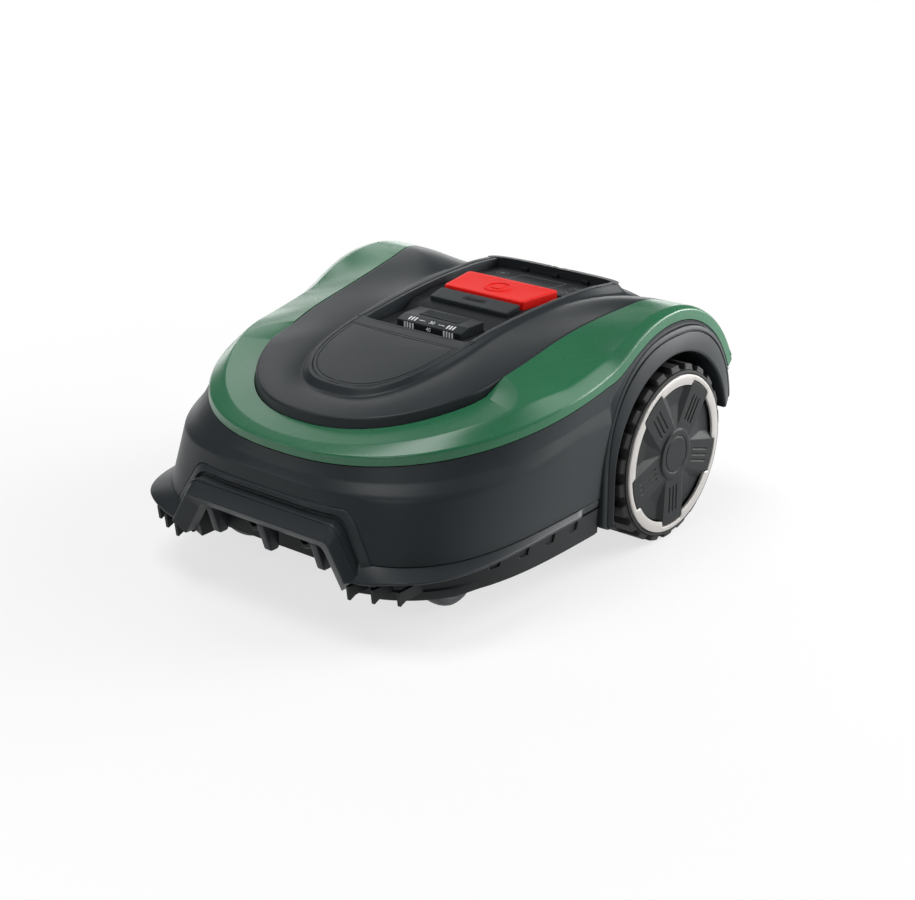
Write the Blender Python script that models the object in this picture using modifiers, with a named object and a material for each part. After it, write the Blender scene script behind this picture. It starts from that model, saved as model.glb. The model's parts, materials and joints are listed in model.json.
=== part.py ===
"""Robotic lawn mower, modelled as the pieces that it comes apart into.

The front faces -Y, the ground is Z = 0 and the machine is symmetric about X = 0.
Its shells are lofts: a ring is a plan outline with a height law, a shell is the surface
through its rings, Mirror makes its other half, Solidify its wall and Boolean its openings.
"""
import math

import bmesh
import bpy
import numpy as np
from mathutils import Matrix, Vector

MM = 0.001
GAP = 0.35 * MM
SEAM = 0.8 * MM
WALL = 2.6 * MM

# Drive wheels
WHEEL_Y = 105.6 * MM
WHEEL_Z = 77.9 * MM
TYRE_RADIUS = 77.9 * MM
TYRE_GROOVE_RADIUS = 73.2 * MM
TYRE_BEAD_RADIUS = 69.9 * MM
TYRE_INNER_X = 137 * MM
TYRE_OUTER_X = 179.2 * MM
TYRE_LUGS = 22
TRIM_RADIUS = 69.5 * MM
TRIM_FACE_X = 180.6 * MM
TRIM_BACK_X = 178.4 * MM
TRIM_WIDE_INNER = 60.2 * MM
TRIM_NARROW_INNER = 65.0 * MM
HUB_BACK_X = 176.2 * MM
HUB_FACE_X = 182 * MM
SPOKES = 5
SPOKE_PHASE = math.radians(54)
AXLE_RADIUS = 6 * MM

# Wheel arches
ARCH_Y = 109 * MM
ARCH_Z = 79 * MM
ARCH_OPENING_RADIUS = 86 * MM
ARCH_CROWN_Y = 111 * MM
ARCH_CROWN_HALF = 99 * MM
ARCH_CROWN_RISE = 107 * MM
ARCH_CROWN_SQUARENESS = 2.3
ARCH_TAIL_ANGLE = math.radians(9.5)
ARCH_SEAM_X = 171.5 * MM
ARCH_LIP_X = 176 * MM
ARCH_FLANGE_BACK_X = 158 * MM
ARCH_WALL_X = 128 * MM
ARCH_AXLE_ROOM = 20 * MM
ARCH_FOOT_Z = 34.5 * MM
BAY_X = 125.5 * MM
BAY_FRONT_Y = 11 * MM

# Nose panel and rear grip
NOSE_BACK_Y = -41 * MM
NOSE_DEPTH = 76 * MM
NOSE_HALF_WIDTH = 58 * MM
NOSE_SQUARENESS = 2.2
GRIP_HALF_LENGTH = 50 * MM
GRIP_HALF_HEIGHT = 13 * MM
GRIP_Z = 94 * MM
GRIP_DEPTH = 34 * MM

# Casters
CASTER_X = 108 * MM
CASTER_Y = -126 * MM
CASTER_TRAIL = 12 * MM
CASTER_RADIUS = 30 * MM
CASTER_HALF_WIDTH = 11 * MM
CASTER_POCKET_RADIUS = 44.5 * MM
CASTER_STEM_RADIUS = 6 * MM
CASTER_PIN_RADIUS = 3 * MM

# Chassis, deck and charging port
CHASSIS_BOTTOM = 34 * MM
CHASSIS_FLOOR = 37 * MM
CHASSIS_TOP = 56.6 * MM
CHASSIS_WALL = 3 * MM
NOTCH_MIDDLES_Y = (-120 * MM, -89 * MM, -57 * MM, -26 * MM)
NOTCH_TOP_HALF = 8.2 * MM
NOTCH_FOOT_HALF = 5.2 * MM
NOTCH_FOOT_Z = 47.8 * MM
NOTCH_DEPTH = 1.7 * MM
DECK_Y = -15 * MM
DECK_RADIUS = 105 * MM
DECK_ROOF_UNDER = 70 * MM
DECK_ROOF_TOP = 73 * MM
PORT_HALF_WIDTH = 84 * MM
PORT_BACK_Y = -172 * MM
PORT_TOP_Z = 102 * MM
PORT_TOP_HALF = 82.5 * MM
PORT_SPLAY = 0.62
PORT_CORNER = 9 * MM
PORT_RIBS_X = (-57 * MM, 0, 57 * MM)
PORT_RIB_HALF = 3.5 * MM
CONTACT_X = 28 * MM
CONTACT_Z = 62 * MM

# Cutter, at the middle of its height range
CUT_HEIGHT = 40 * MM
DISC_RADIUS = 79 * MM
BLADE_PIVOT_RADIUS = 71 * MM
BLADE_REACH = 24 * MM
BLADE_COUNT = 3
BLADE_THICKNESS = 1 * MM
CARRIAGE_RADIUS = 31 * MM
MOTOR_RADIUS = 26 * MM
SPINDLE_RADIUS = 5 * MM
FLANGE_LOW = 86 * MM
FLANGE_HIGH = 90 * MM
GUIDE_X = 50 * MM
GUIDE_RADIUS = 4 * MM

# Controls in the well
TRAY_WALL = 2 * MM
ADJUSTER_HALF_WIDTH = 35 * MM
ADJUSTER_FRONT_Y = -5.5 * MM
ADJUSTER_BACK_Y = 26 * MM
ADJUSTER_FOOT_Z = 158 * MM
STOP_FRONT_Y = 69 * MM
STOP_BACK_Y = 114 * MM
STOP_FRONT_HALF = 44.5 * MM
STOP_BACK_HALF = 49 * MM
STOP_CENTRE_Y = 91 * MM
STOP_UNDER_Z = 187.5 * MM
STOP_PAN_Z = 183 * MM
STOP_STEM_RADIUS = 5 * MM
SPRING_SEAT_Z = 172 * MM
SPRING_RADIUS = 8.5 * MM
SPRING_WIRE = 0.7 * MM
SPRING_TURNS = 5
SPRING_CUP_RADIUS = 12 * MM

# Steps in the lofts
FRONT_STEPS = 12
SIDE_STEPS = 9
REAR_STEPS = 5
ROUND_SIDES = 24

FINISHES = {
    "dark": ((0.030, 0.033, 0.036), 0.55, 0.0),
    "black": ((0.010, 0.011, 0.012), 0.5, 0.0),
    "green": ((0.012, 0.105, 0.055), 0.38, 0.0),
    "red": ((0.72, 0.022, 0.012), 0.35, 0.0),
    "rubber": ((0.014, 0.015, 0.016), 0.8, 0.0),
    "silver": ((0.62, 0.60, 0.58), 0.35, 0.6),
    "grey": ((0.30, 0.31, 0.32), 0.5, 0.0),
    "steel": ((0.55, 0.56, 0.57), 0.3, 1.0),
    "copper": ((0.60, 0.42, 0.25), 0.35, 1.0),
}
AXIS_TURNS = {
    "Z": (0, 0, 0),
    "X": (0, math.pi / 2, 0),
    "-X": (0, -math.pi / 2, 0),
    "-Y": (math.pi / 2, 0, 0),
}
SIDES = (("left", 1), ("right", -1))


# Scene

def clear_scene():
    """Remove every object, so that the script starts from nothing."""
    for item in list(bpy.data.objects):
        bpy.data.objects.remove(item, do_unlink=True)


def make_collection(name):
    """A new collection under the scene's own."""
    made = bpy.data.collections.new(name)
    bpy.context.scene.collection.children.link(made)
    return made


clear_scene()
PARTS = make_collection("robotic_lawn_mower")
CUTTERS = make_collection("cutters")


def finish_of(name, finish):
    """One Principled material for one part."""
    rgb, roughness, metallic = FINISHES[finish]
    made = bpy.data.materials.new(name)
    made.use_nodes = True
    shader = made.node_tree.nodes["Principled BSDF"]
    shader.inputs["Base Color"].default_value = (*rgb, 1.0)
    shader.inputs["Roughness"].default_value = roughness
    shader.inputs["Metallic"].default_value = metallic
    made.diffuse_color = (*rgb, 1.0)
    return made


def add_part(name, mesh, finish, origin=(0, 0, 0)):
    """Link a mesh given in world coordinates as a part with its origin at a point."""
    mesh.transform(Matrix.Translation(-Vector(origin)))
    item = bpy.data.objects.new(name, mesh)
    item.location = origin
    mesh.materials.append(finish_of(name, finish))
    mesh.shade_smooth()
    mesh.set_sharp_from_angle(angle=math.radians(30))
    PARTS.objects.link(item)
    return item


def add_cutter(name, mesh):
    """Link a mesh as a hidden helper for a Boolean."""
    item = bpy.data.objects.new(name, mesh)
    item.hide_render = True
    item.display_type = "WIRE"
    CUTTERS.objects.link(item)
    return item


def boolean(item, other, operation):
    """A live Boolean with another object."""
    step = item.modifiers.new(other.name, "BOOLEAN")
    step.object = other
    step.operation = operation
    step.solver = "EXACT"


def cut(item, name, mesh):
    """Subtract a mesh from a part."""
    boolean(item, add_cutter(name, mesh), "DIFFERENCE")


def join(item, name, mesh):
    """Unite a mesh with a part."""
    boolean(item, add_cutter(name, mesh), "UNION")


def mirror(item):
    """Complete a half that is open at X = 0."""
    step = item.modifiers.new("other_half", "MIRROR")
    step.use_axis = (True, False, False)
    step.merge_threshold = 0.00005


def wall(item, thickness):
    """Give an open outer surface a wall on its inner side."""
    step = item.modifiers.new("wall", "SOLIDIFY")
    step.thickness = thickness
    step.offset = -1
    step.use_even_offset = True


def round_edges(item, width):
    """Round a part's sharp edges."""
    step = item.modifiers.new("edges", "BEVEL")
    step.width = width
    step.segments = 2
    step.limit_method = "ANGLE"
    step.angle_limit = math.radians(40)


# Meshes

def mesh_from(bm, closed=True):
    """Turn a bmesh into a mesh, with a closed one's faces pointing out."""
    if closed:
        bmesh.ops.recalc_face_normals(bm, faces=bm.faces)
    made = bpy.data.meshes.new("mesh")
    bm.to_mesh(made)
    bm.free()
    return made


def box(low, high):
    """A box between two corners."""
    bm = bmesh.new()
    low, high = Vector(low), Vector(high)
    place = Matrix.Translation((low + high) / 2) @ Matrix.Diagonal((*(high - low), 1))
    bmesh.ops.create_cube(bm, size=1, matrix=place)
    return mesh_from(bm)


def cylinder(start, length, radius, axis="Z", sides=ROUND_SIDES):
    """A cylinder that runs from start along an axis."""
    bm = bmesh.new()
    turn = Matrix.Rotation(math.pi / 2 if axis == "X" else 0, 4, "Y")
    place = Matrix.Translation(Vector(start)) @ turn @ Matrix.Translation((0, 0, length / 2))
    bmesh.ops.create_cone(bm, cap_ends=True, segments=sides, radius1=radius, radius2=radius,
                          depth=length, matrix=place)
    return mesh_from(bm)


def prism(outline, axis, low, high):
    """A flat outline square to X, Y or Z, extruded from low to high along that axis."""
    index = "XYZ".index(axis)
    bm = bmesh.new()
    face = bm.faces.new([bm.verts.new((*p[:index], low, *p[index:])) for p in outline])
    grown = bmesh.ops.extrude_face_region(bm, geom=[face])["geom"]
    shift = Vector((0, 0, 0))
    shift[index] = high - low
    bmesh.ops.translate(bm, vec=shift, verts=[v for v in grown if isinstance(v, bmesh.types.BMVert)])
    return mesh_from(bm)


def loft(rows, ring=False, capped=False):
    """Faces through rows of points. A ring's rows close on themselves; caps fill its first and last."""
    count = len(rows[0])
    bm = bmesh.new()
    verts = [[bm.verts.new(point) for point in row] for row in rows]
    for low, high in zip(verts, verts[1:]):
        for i in range(count if ring else count - 1):
            j = (i + 1) % count
            bm.faces.new((low[i], low[j], high[j], high[i]))
    if capped:
        bm.faces.new(verts[0])
        bm.faces.new(verts[-1])
    return mesh_from(bm, closed=ring)


def points(x, y, z):
    """Points from coordinate arrays."""
    return np.stack(np.broadcast_arrays(x, y, z), axis=-1)


def wheel_rows(sections, angles):
    """Rows about the drive wheel's axle, each from a radius per angle and an x."""
    return [points(x, WHEEL_Y + r * np.cos(angles), WHEEL_Z + r * np.sin(angles)) for r, x in sections]


def wheel_band(sections, angles):
    """A closed band about the axle, whose last section joins its first."""
    rows = wheel_rows(sections, angles)
    bm = bmesh.new()
    bm.from_mesh(loft(rows + rows[:1], ring=True))
    bmesh.ops.remove_doubles(bm, verts=bm.verts, dist=0.00001)
    return mesh_from(bm)


def mirrored(mesh, sign):
    """The mesh itself, turned into its mirror image across X = 0 when sign is negative."""
    if sign < 0:
        mesh.transform(Matrix.Diagonal((-1, 1, 1, 1)))
        mesh.flip_normals()
    return mesh


def turned(name, profile, finish, centre, axis="Z", sides=ROUND_SIDES, hollow=True):
    """A (radius, along) profile, run down its outer side, turned about an axis through centre."""
    mesh = bpy.data.meshes.new(name)
    count = len(profile)
    edges = [(i, i + 1) for i in range(count - 1)]
    if hollow:
        edges.append((count - 1, 0))
    mesh.from_pydata([(r, 0, along) for r, along in profile], edges, [])
    mesh.materials.append(finish_of(name, finish))
    item = bpy.data.objects.new(name, mesh)
    item.location = centre
    item.rotation_euler = AXIS_TURNS[axis]
    PARTS.objects.link(item)
    step = item.modifiers.new("turn", "SCREW")
    step.axis = "Z"
    step.angle = 2 * math.pi
    step.steps = sides
    step.render_steps = sides
    step.use_merge_vertices = True
    step.merge_threshold = 0.00001
    return item


def rounded(corners, radius, steps=4):
    """A convex outline with each corner replaced by an arc."""
    made = []
    count = len(corners)
    for i, corner in enumerate(corners):
        here = Vector(corner)
        before = (Vector(corners[i - 1]) - here).normalized()
        after = (Vector(corners[(i + 1) % count]) - here).normalized()
        half = before.angle(after) / 2
        centre = here + (before + after).normalized() * radius / math.sin(half)
        first = here + before * radius / math.tan(half) - centre
        last = here + after * radius / math.tan(half) - centre
        sweep = first.angle_signed(last)
        made += [tuple(centre + Matrix.Rotation(-sweep * k / steps, 2) @ first) for k in range(steps + 1)]
    return made


def slab(corners, radius, levels):
    """A rounded outline lofted through levels, each an inset and a height law over y."""
    middle = (max(y for _, y in corners) + min(y for _, y in corners)) / 2
    half_x = max(x for x, _ in corners)
    half_y = max(y for _, y in corners) - middle
    outline = rounded(corners, radius)
    rows = []
    for inset, law in levels:
        row = [(x * (1 - inset / half_x), middle + (y - middle) * (1 - inset / half_y)) for x, y in outline]
        rows.append([(x, y, law(y)) for x, y in row])
    return loft(rows, ring=True, capped=True)


# Laws of the shells

def smooth(value):
    """0 to 1 with flat ends."""
    value = np.clip(value, 0, 1)
    return value * value * (3 - 2 * value)


def ramp(y, start, end):
    """How far y lies from start to end, smoothly."""
    return smooth((y - start) / (end - start))


def soft_max(a, b, blend):
    """The larger of two laws, with the corner between them rounded."""
    return np.maximum(a, b) + blend * np.log1p(np.exp(-np.abs(a - b) / blend))


class Ring:
    """A half outline: a superellipse quarter in front, a flared side and a rounded rear quarter."""

    def __init__(self, half_width, reach, squareness, side_end, end_width, back, flare=2.0, corner=3.2):
        self.half_width = half_width * MM
        self.reach = reach * MM
        self.squareness = squareness
        self.side_end = side_end * MM
        self.end_width = end_width * MM
        self.back = back * MM
        self.flare = flare
        self.corner = corner

    def at(self, station):
        """x and y at stations: 0 to 1 by polar angle in front, 1 to 2 along the side, 2 to 3 behind."""
        station = np.asarray(station, dtype=float)
        n = self.squareness
        angle = np.clip(station, 0, 1) * math.pi / 2
        s, c = np.sin(angle), np.maximum(np.cos(angle), 0)
        radius = ((s / self.half_width) ** n + (c / self.reach) ** n) ** (-1 / n)
        share = np.clip(station - 1, 0, 1)
        side_x = self.half_width + (self.end_width - self.half_width) * share ** self.flare
        turn = np.clip(station - 2, 0, 1) * math.pi / 2
        rear_x = self.end_width * np.maximum(np.cos(turn), 0) ** (2 / self.corner)
        rear_y = self.side_end + (self.back - self.side_end) * np.sin(turn) ** (2 / self.corner)
        x = np.where(station <= 1, radius * s, np.where(station <= 2, side_x, rear_x))
        y = np.where(station <= 1, -radius * c, np.where(station <= 2, self.side_end * share, rear_y))
        return x, y

    def front_x(self, y):
        """The front outline's x at a distance ahead of the middle."""
        share = abs(y) / self.reach
        return self.half_width * (1 - share ** self.squareness) ** (1 / self.squareness)

    def front_y(self, x):
        """The front outline's y at a distance from the middle."""
        share = abs(x) / self.half_width
        return -self.reach * (1 - share ** self.squareness) ** (1 / self.squareness)


GREEN_EDGE = Ring(172, 192, 2.3, 212.5, 166, 216.5)
GREEN_CREASE = Ring(171.5, 193, 2.25, 220, 165, 221)
GREEN_SHOULDER = Ring(162, 184, 2.1, 218.5, 163.5, 221)
HOOD_EDGE = Ring(123, 165.7, 2.25, 215, 162, 221.5, flare=2.5)
BODY_CREASE = Ring(172, 203, 3.0, 206, 164, 212)
BODY_FOOT = Ring(168.5, 212, 3.8, 184, 152, 194)
BUMPER_RIM = Ring(172, 221.5, 5.0, 150, 172, 180)
BUMPER_UNDER = Ring(166, 213, 4.6, 150, 166, 180)
CHASSIS_LOW = Ring(167, 205, 3.4, 172, 140, 184)
CHASSIS_HIGH = Ring(168, 207, 3.5, 176, 146, 188)
PLATFORM_FOOT = Ring(71, 126, 2.4, 172, 82, 190)
PLATFORM_EDGE = Ring(66, 120.5, 2.4, 170, 76, 186)
WELL_EDGE = Ring(49, 22, 9.0, 166, 64, 180, flare=1.0, corner=5.0)

TAIL_Z = 121 * MM
HOOD_STEP = 8 * MM
HOOD_LAP = 2.6 * MM

# Stations where the wedge between front band and fender starts, ends and comes to its tip
WEDGE_START = 55.1 / 90
WEDGE_END = 67.7 / 90
WEDGE_TIP = 60.5 / 90
WEDGE_TIP_HALF = 0.004
WEDGE_TIP_Y = -84 * MM


def over_wheel(front_law, y, radius):
    """A height law that leaves its front line and runs over the wheel on an arc."""
    arc = ARCH_Z + np.sqrt(np.maximum(radius ** 2 - (y - ARCH_Y) ** 2, 0))
    climbing = soft_max(front_law, arc, 8 * MM)
    return climbing + (arc - climbing) * ramp(y, 10 * MM, 70 * MM)


def green_edge_height(y):
    """The green shell's lower edge: a rising line, then an arc over the wheel."""
    return over_wheel(160.4 * MM + 0.1639 * y, y, 113 * MM)


def crease_height(y):
    """The crease between the green shell's top and its upright lip."""
    return over_wheel(168 * MM + 0.1639 * y, y, 122 * MM)


def shoulder_height(y):
    """The outer side of the green top: the low band's line in front, just above the crease behind."""
    band = 184.7 * MM + 0.2412 * y
    fender = crease_height(y) + 7 * MM - 5 * MM * ramp(y, 0, 110 * MM)
    return band + (fender - band) * ramp(y, WEDGE_TIP_Y, -20 * MM)


def low_hood_height(y):
    """Where the hood's step stands on the low band."""
    return 179.9 * MM + 0.2013 * y


def high_hood_height(y):
    """Where the hood lies flush with the fenders, and follows them down to the tail."""
    crown = 186.5 * MM + 0.1824 * y - 0.4972 * y ** 2
    tail = crease_height(y) + 1.5 * MM - 9 * MM * ramp(y, 195 * MM, 215 * MM)
    return crown + (tail - crown) * ramp(y, 95 * MM, 140 * MM)


def platform_height(y):
    """The raised platform that holds the nose panel and the well."""
    return 189.5 * MM + 0.1208 * y - 0.521 * y ** 2


def body_crease_height(y):
    """The skirt's soft crease: low in front, level along the side, lower at the tail."""
    front = 126 * MM - 14 * MM * np.clip((-y - 90 * MM) / (113 * MM), 0, 1)
    return front - 20 * MM * ramp(y, 40 * MM, 200 * MM)


def body_foot_height(y):
    """The skirt's foot: on the bumper in front, on the tray behind."""
    return 65 * MM - 7.8 * MM * ramp(y, 20 * MM, 120 * MM)


def stations(front, side, rear=0):
    """Stations along a half ring with the given number of steps in each stretch."""
    parts = [np.linspace(0, 1, front + 1), np.linspace(1, 2, side + 1)[1:]]
    if rear:
        parts.append(np.linspace(2, 3, rear + 1)[1:])
    return np.concatenate(parts)


def shell_stations(rear):
    """The columns that the shells share, with two at the wedge."""
    return np.union1d(stations(FRONT_STEPS, SIDE_STEPS, rear), [WEDGE_START, WEDGE_END])


def wedge_climb(station):
    """0 on the low band in front, 1 behind the wedge."""
    return np.clip((station - WEDGE_START) / (WEDGE_END - WEDGE_START), 0, 1)


def wedge_stations(station, across):
    """Slide the columns so that two of them follow the wedge's edges out to its tip."""
    start = WEDGE_START + (WEDGE_TIP - WEDGE_TIP_HALF - WEDGE_START) * across
    end = WEDGE_END + (WEDGE_TIP + WEDGE_TIP_HALF - WEDGE_END) * across
    return np.interp(station, [0, WEDGE_START, WEDGE_END, 1, 3], [0, start, end, 1, 3])


def hood_plan(station, clearance=0.0):
    """The hood's outline: its front ellipse draws in to the side line behind the wedge."""
    x, y = HOOD_EDGE.at(station)
    x = x - 6 * MM * ramp(y, -88 * MM, -44 * MM) * (1 - ramp(y, 0, 150 * MM))
    grow = 1 + clearance / np.hypot(x, y)
    return x * grow, y * grow


# Shells

def green_row(station, across):
    """A row of the green shell: across 0 to 1 on its top, 2 at the crease, 3 at its lower edge."""
    top = min(across, 1)
    s = wedge_stations(station, top)
    if across == 2:
        x, y = GREEN_CREASE.at(s)
        return points(x, y, crease_height(y))
    if across == 3:
        x, y = GREEN_EDGE.at(s)
        return points(x, y, green_edge_height(y))
    hood_x, hood_y = hood_plan(s, 1.5 * SEAM)
    side_x, side_y = GREEN_SHOULDER.at(s)
    inner = low_hood_height(hood_y)
    inner = inner + (high_hood_height(hood_y) - inner) * wedge_climb(station)
    inner_point = points(hood_x, hood_y, inner)
    return inner_point + (points(side_x, side_y, shoulder_height(side_y)) - inner_point) * top


def make_green_shell():
    """The green ring: front band, wedges, fenders and the upright lip below them."""
    half = shell_stations(0)
    rows = [green_row(half, across) for across in (3, 2, 1, 0.5, 0)]
    item = add_part("green_shell", loft(rows), "green")
    mirror(item)
    wall(item, WALL)


def make_body_shell():
    """The dark skirt below the green ring, open for the port, the wheel arches and the rear grip."""
    half = shell_stations(REAR_STEPS)
    x, y = GREEN_EDGE.at(wedge_stations(half, 1))
    edge = np.where(half > 2, np.maximum(green_edge_height(y), TAIL_Z), green_edge_height(y))
    top = points(x, y, edge - SEAM)
    x, y = BODY_CREASE.at(half)
    crease = points(x, y, body_crease_height(y))
    x, y = BODY_FOOT.at(half)
    foot = points(x, y, body_foot_height(y))
    cove = crease + (top - crease) * 0.45
    cove[:, :2] *= 0.994
    item = add_part("body_shell", loft([foot, crease, cove, top]), "dark")
    mirror(item)
    wall(item, WALL)
    cut(item, "port_cut", prism(port_outline(-GAP, -GAP, PORT_CORNER, 40 * MM), "Y", -260 * MM, -150 * MM))
    for side, sign in SIDES:
        arch = prism(arch_opening(), "X", ARCH_WALL_X - 2 * MM, 200 * MM)
        cut(item, f"{side}_arch_cut", mirrored(arch, sign))
    cut(item, "grip_cut", prism(grip_outline(0), "Y", 185 * MM, 240 * MM))


def make_top_hood():
    """The dark hood: a step round its front, side valleys and a raised platform with the well."""
    half = shell_stations(REAR_STEPS)
    x, y = hood_plan(half)
    low, high = low_hood_height(y), high_hood_height(y)
    lip = low + HOOD_STEP + (high - low - HOOD_STEP) * ramp(y, -100 * MM, -44 * MM)
    lip = lip + (TAIL_Z + HOOD_LAP + 2 * SEAM - lip) * ramp(half, 2.0, 2.35)
    foot = np.minimum(low + (high - low) * wedge_climb(half), lip - HOOD_LAP)
    inset = 1 - 0.018 * np.clip((lip - foot - HOOD_LAP) / HOOD_STEP, 0, 1)
    rows = [points(x, y, foot), points(x * inset, y * inset, lip)]
    x, y = PLATFORM_FOOT.at(half)
    bead = points(x, y, platform_height(y) - 4.5 * MM + 3.5 * MM * ramp(y, -60 * MM, 110 * MM))
    bulge = 1.5 * MM - 4.5 * MM * ramp(y, -60 * MM, 60 * MM) + 17 * MM * smooth(half - 1.9)
    for share in (0.33, 0.67):
        row = rows[1] + (bead - rows[1]) * share
        row[:, 2] += bulge * 4 * share * (1 - share)
        rows.append(row)
    rows.append(bead)
    edge_x, edge_y = PLATFORM_EDGE.at(half)
    well_x, well_y = WELL_EDGE.at(half)
    for share in (0, 0.35, 0.7, 1):
        y = edge_y + (well_y - edge_y) * share
        rows.append(points(edge_x + (well_x - edge_x) * share, y, platform_height(y)))
    item = add_part("top_hood", loft(rows), "dark")
    mirror(item)
    wall(item, WALL)
    cut(item, "nose_recess", nose_plate(0.4 * MM, -1.4 * MM, 6 * MM))


def nose_plate(grow, low, high):
    """A D-shaped plate that follows the platform, between two offsets from it."""
    sections = []
    turns = np.linspace(math.radians(8), math.pi / 2, 9)
    power = 2 / NOSE_SQUARENESS
    for turn in turns:
        half = (NOSE_HALF_WIDTH + grow) * math.sin(turn) ** power
        y = NOSE_BACK_Y - (NOSE_DEPTH + grow) * max(math.cos(turn), 0) ** power
        if turn == turns[-1]:
            y += grow
        across = np.linspace(-half, half, 5)
        under = points(across, y, platform_height(y) + low)
        over = points(across[::-1], y, platform_height(y) + high)
        sections.append(np.concatenate([under, over]))
    return loft(sections, ring=True, capped=True)


def make_nose_panel():
    """The bare D-shaped plate in front of the well."""
    add_part("nose_panel", nose_plate(0, -1.05 * MM, 0.2 * MM), "dark")


# Port and bumper

def port_outline(down, aside, corner, foot_z):
    """The port's outline (x, z) from its left foot over the top to its right foot, with the top moved
    down, the legs moved aside towards the middle and the corners rounded."""
    top = PORT_TOP_Z - down
    half = PORT_TOP_HALF + PORT_SPLAY * down - aside
    right = []
    for t in (0, 0.33, 0.67, 1):
        right.append((half - corner * (1 - t) ** 2 + PORT_SPLAY * corner * t ** 2, top - corner * t ** 2))
    right.append((half + PORT_SPLAY * (top - foot_z), foot_z))
    return [(-x, z) for x, z in right[::-1]] + right


def skirt_front(x, z):
    """y of the skirt's front face."""
    share = np.clip((z - 65 * MM) / (47 * MM), 0, 1)
    return BODY_FOOT.front_y(x) * (1 - share) + BODY_CREASE.front_y(x) * share


def flange_row(down, aside, foot_z, proud):
    """A row of the bumper's flange, which follows the skirt at a distance from it."""
    outline = port_outline(down * MM, aside * MM, PORT_CORNER, foot_z * MM)
    return [(x, max(skirt_front(x, z), -205 * MM) + proud * MM, z) for x, z in outline]


def visor_row(down, aside, corner, foot_z, y):
    """A row of the bumper's visor, which keeps to one distance in front."""
    outline = port_outline(down * MM, aside * MM, corner * MM, foot_z * MM)
    return [(x, y * MM, z) for x, z in outline]


def make_front_bumper():
    """The bumper: a flange with a pointed visor round the charging port, and a rim along each side."""
    rows = [flange_row(0, 0, 62, 3), flange_row(0, 0, 62, 0), flange_row(4.5, 8.3, 60, -2.5),
            flange_row(6.2, 9.3, 59, 0.6), flange_row(8.6, 11, 58, 0.2),
            visor_row(9.6, 10.5, 7, 56, -212.3), visor_row(20.2, 18.6, 4, 53, -221.5),
            visor_row(28.5, 34, 6, 42, -215.5), visor_row(28.5, 34, 6, 42, -203),
            flange_row(10.5, 12.5, 58, 3)]
    frame = np.array(rows).transpose(1, 0, 2)
    item = add_part("front_bumper", loft(frame, ring=True, capped=True), "dark")
    for side, sign in SIDES:
        join(item, f"{side}_rim_band", mirrored(bumper_band(), sign))
    rib = [(-214.5, 78), (-214.5, 71.5), (-207, 48), (-197, 48), (-197, 68), (-204, 78)]
    outline = [(y * MM, z * MM) for y, z in rib]
    for number, x in enumerate(PORT_RIBS_X):
        join(item, f"port_rib_{number}", prism(outline, "X", x - PORT_RIB_HALF, x + PORT_RIB_HALF))


def bumper_band():
    """The rim along the +X side, from the port's corner to the wheel arch, as sections along it."""
    s = np.concatenate([np.linspace(0.25, 1, 15), [1.025, 1.055]])
    top_x, top_y = BODY_FOOT.at(s)
    rim_x, rim_y = BUMPER_RIM.at(s)
    under_x, under_y = BUMPER_UNDER.at(s)
    proud = 1 - ramp(rim_y, -22 * MM, -10 * MM)
    rim_x = top_x + (rim_x - top_x) * proud
    near_port = 1 - ramp(top_x, 95 * MM, 130 * MM)
    rim_y = rim_y + 2.5 * MM * near_port
    top_z, rim_z, under_z = 64 * MM, 60 * MM - 6 * MM * near_port, 57.3 * MM - 6 * MM * near_port
    inner = 3 * MM
    rows = [points(top_x, top_y, top_z), points(rim_x, rim_y, rim_z),
            points(rim_x - 0.5 * MM, rim_y + 0.4 * MM * proud, rim_z - 2 * MM),
            points(under_x, under_y, under_z), points(under_x - inner, under_y + inner * proud, under_z),
            points(top_x - inner, top_y + inner * proud, top_z)]
    return loft(np.array(rows).transpose(1, 0, 2), ring=True, capped=True)


def make_contacts():
    """Two charging contacts on the port's back wall."""
    profile = [(0, 22), (6, 20), (9, 14), (9, 0), (0, 0)]
    for side, sign in SIDES:
        turned(f"{side}_contact", [(r * MM, along * MM) for r, along in profile], "copper",
               (sign * CONTACT_X, PORT_BACK_Y - GAP, CONTACT_Z), "-Y", 20, hollow=False)


# Wheel arches

def crown_point(angle, clearance):
    """A point (y, z) of the seam round an arch, a superellipse."""
    power = 2 / ARCH_CROWN_SQUARENESS
    c, s = math.cos(angle), math.sin(angle)
    y = ARCH_CROWN_Y + (ARCH_CROWN_HALF + clearance) * math.copysign(abs(c) ** power, c)
    return y, ARCH_Z + (ARCH_CROWN_RISE + clearance) * max(s, 0) ** power


def arch_angles():
    """Angles over the wheel, from the front leg to the tail."""
    return np.linspace(math.pi, ARCH_TAIL_ANGLE, 20)


def arch_opening():
    """The opening in the skirt for an arch: the seam's outline, straight down to the ground."""
    crown = [crown_point(a, GAP) for a in arch_angles()]
    return [(crown[0][0], 0)] + crown + [(crown[-1][0], 0)]


def arch_circle(radius):
    """Points (y, z) of a circle over the wheel."""
    return [(ARCH_Y + radius * math.cos(a), ARCH_Z + radius * math.sin(a)) for a in arch_angles()]


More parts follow.
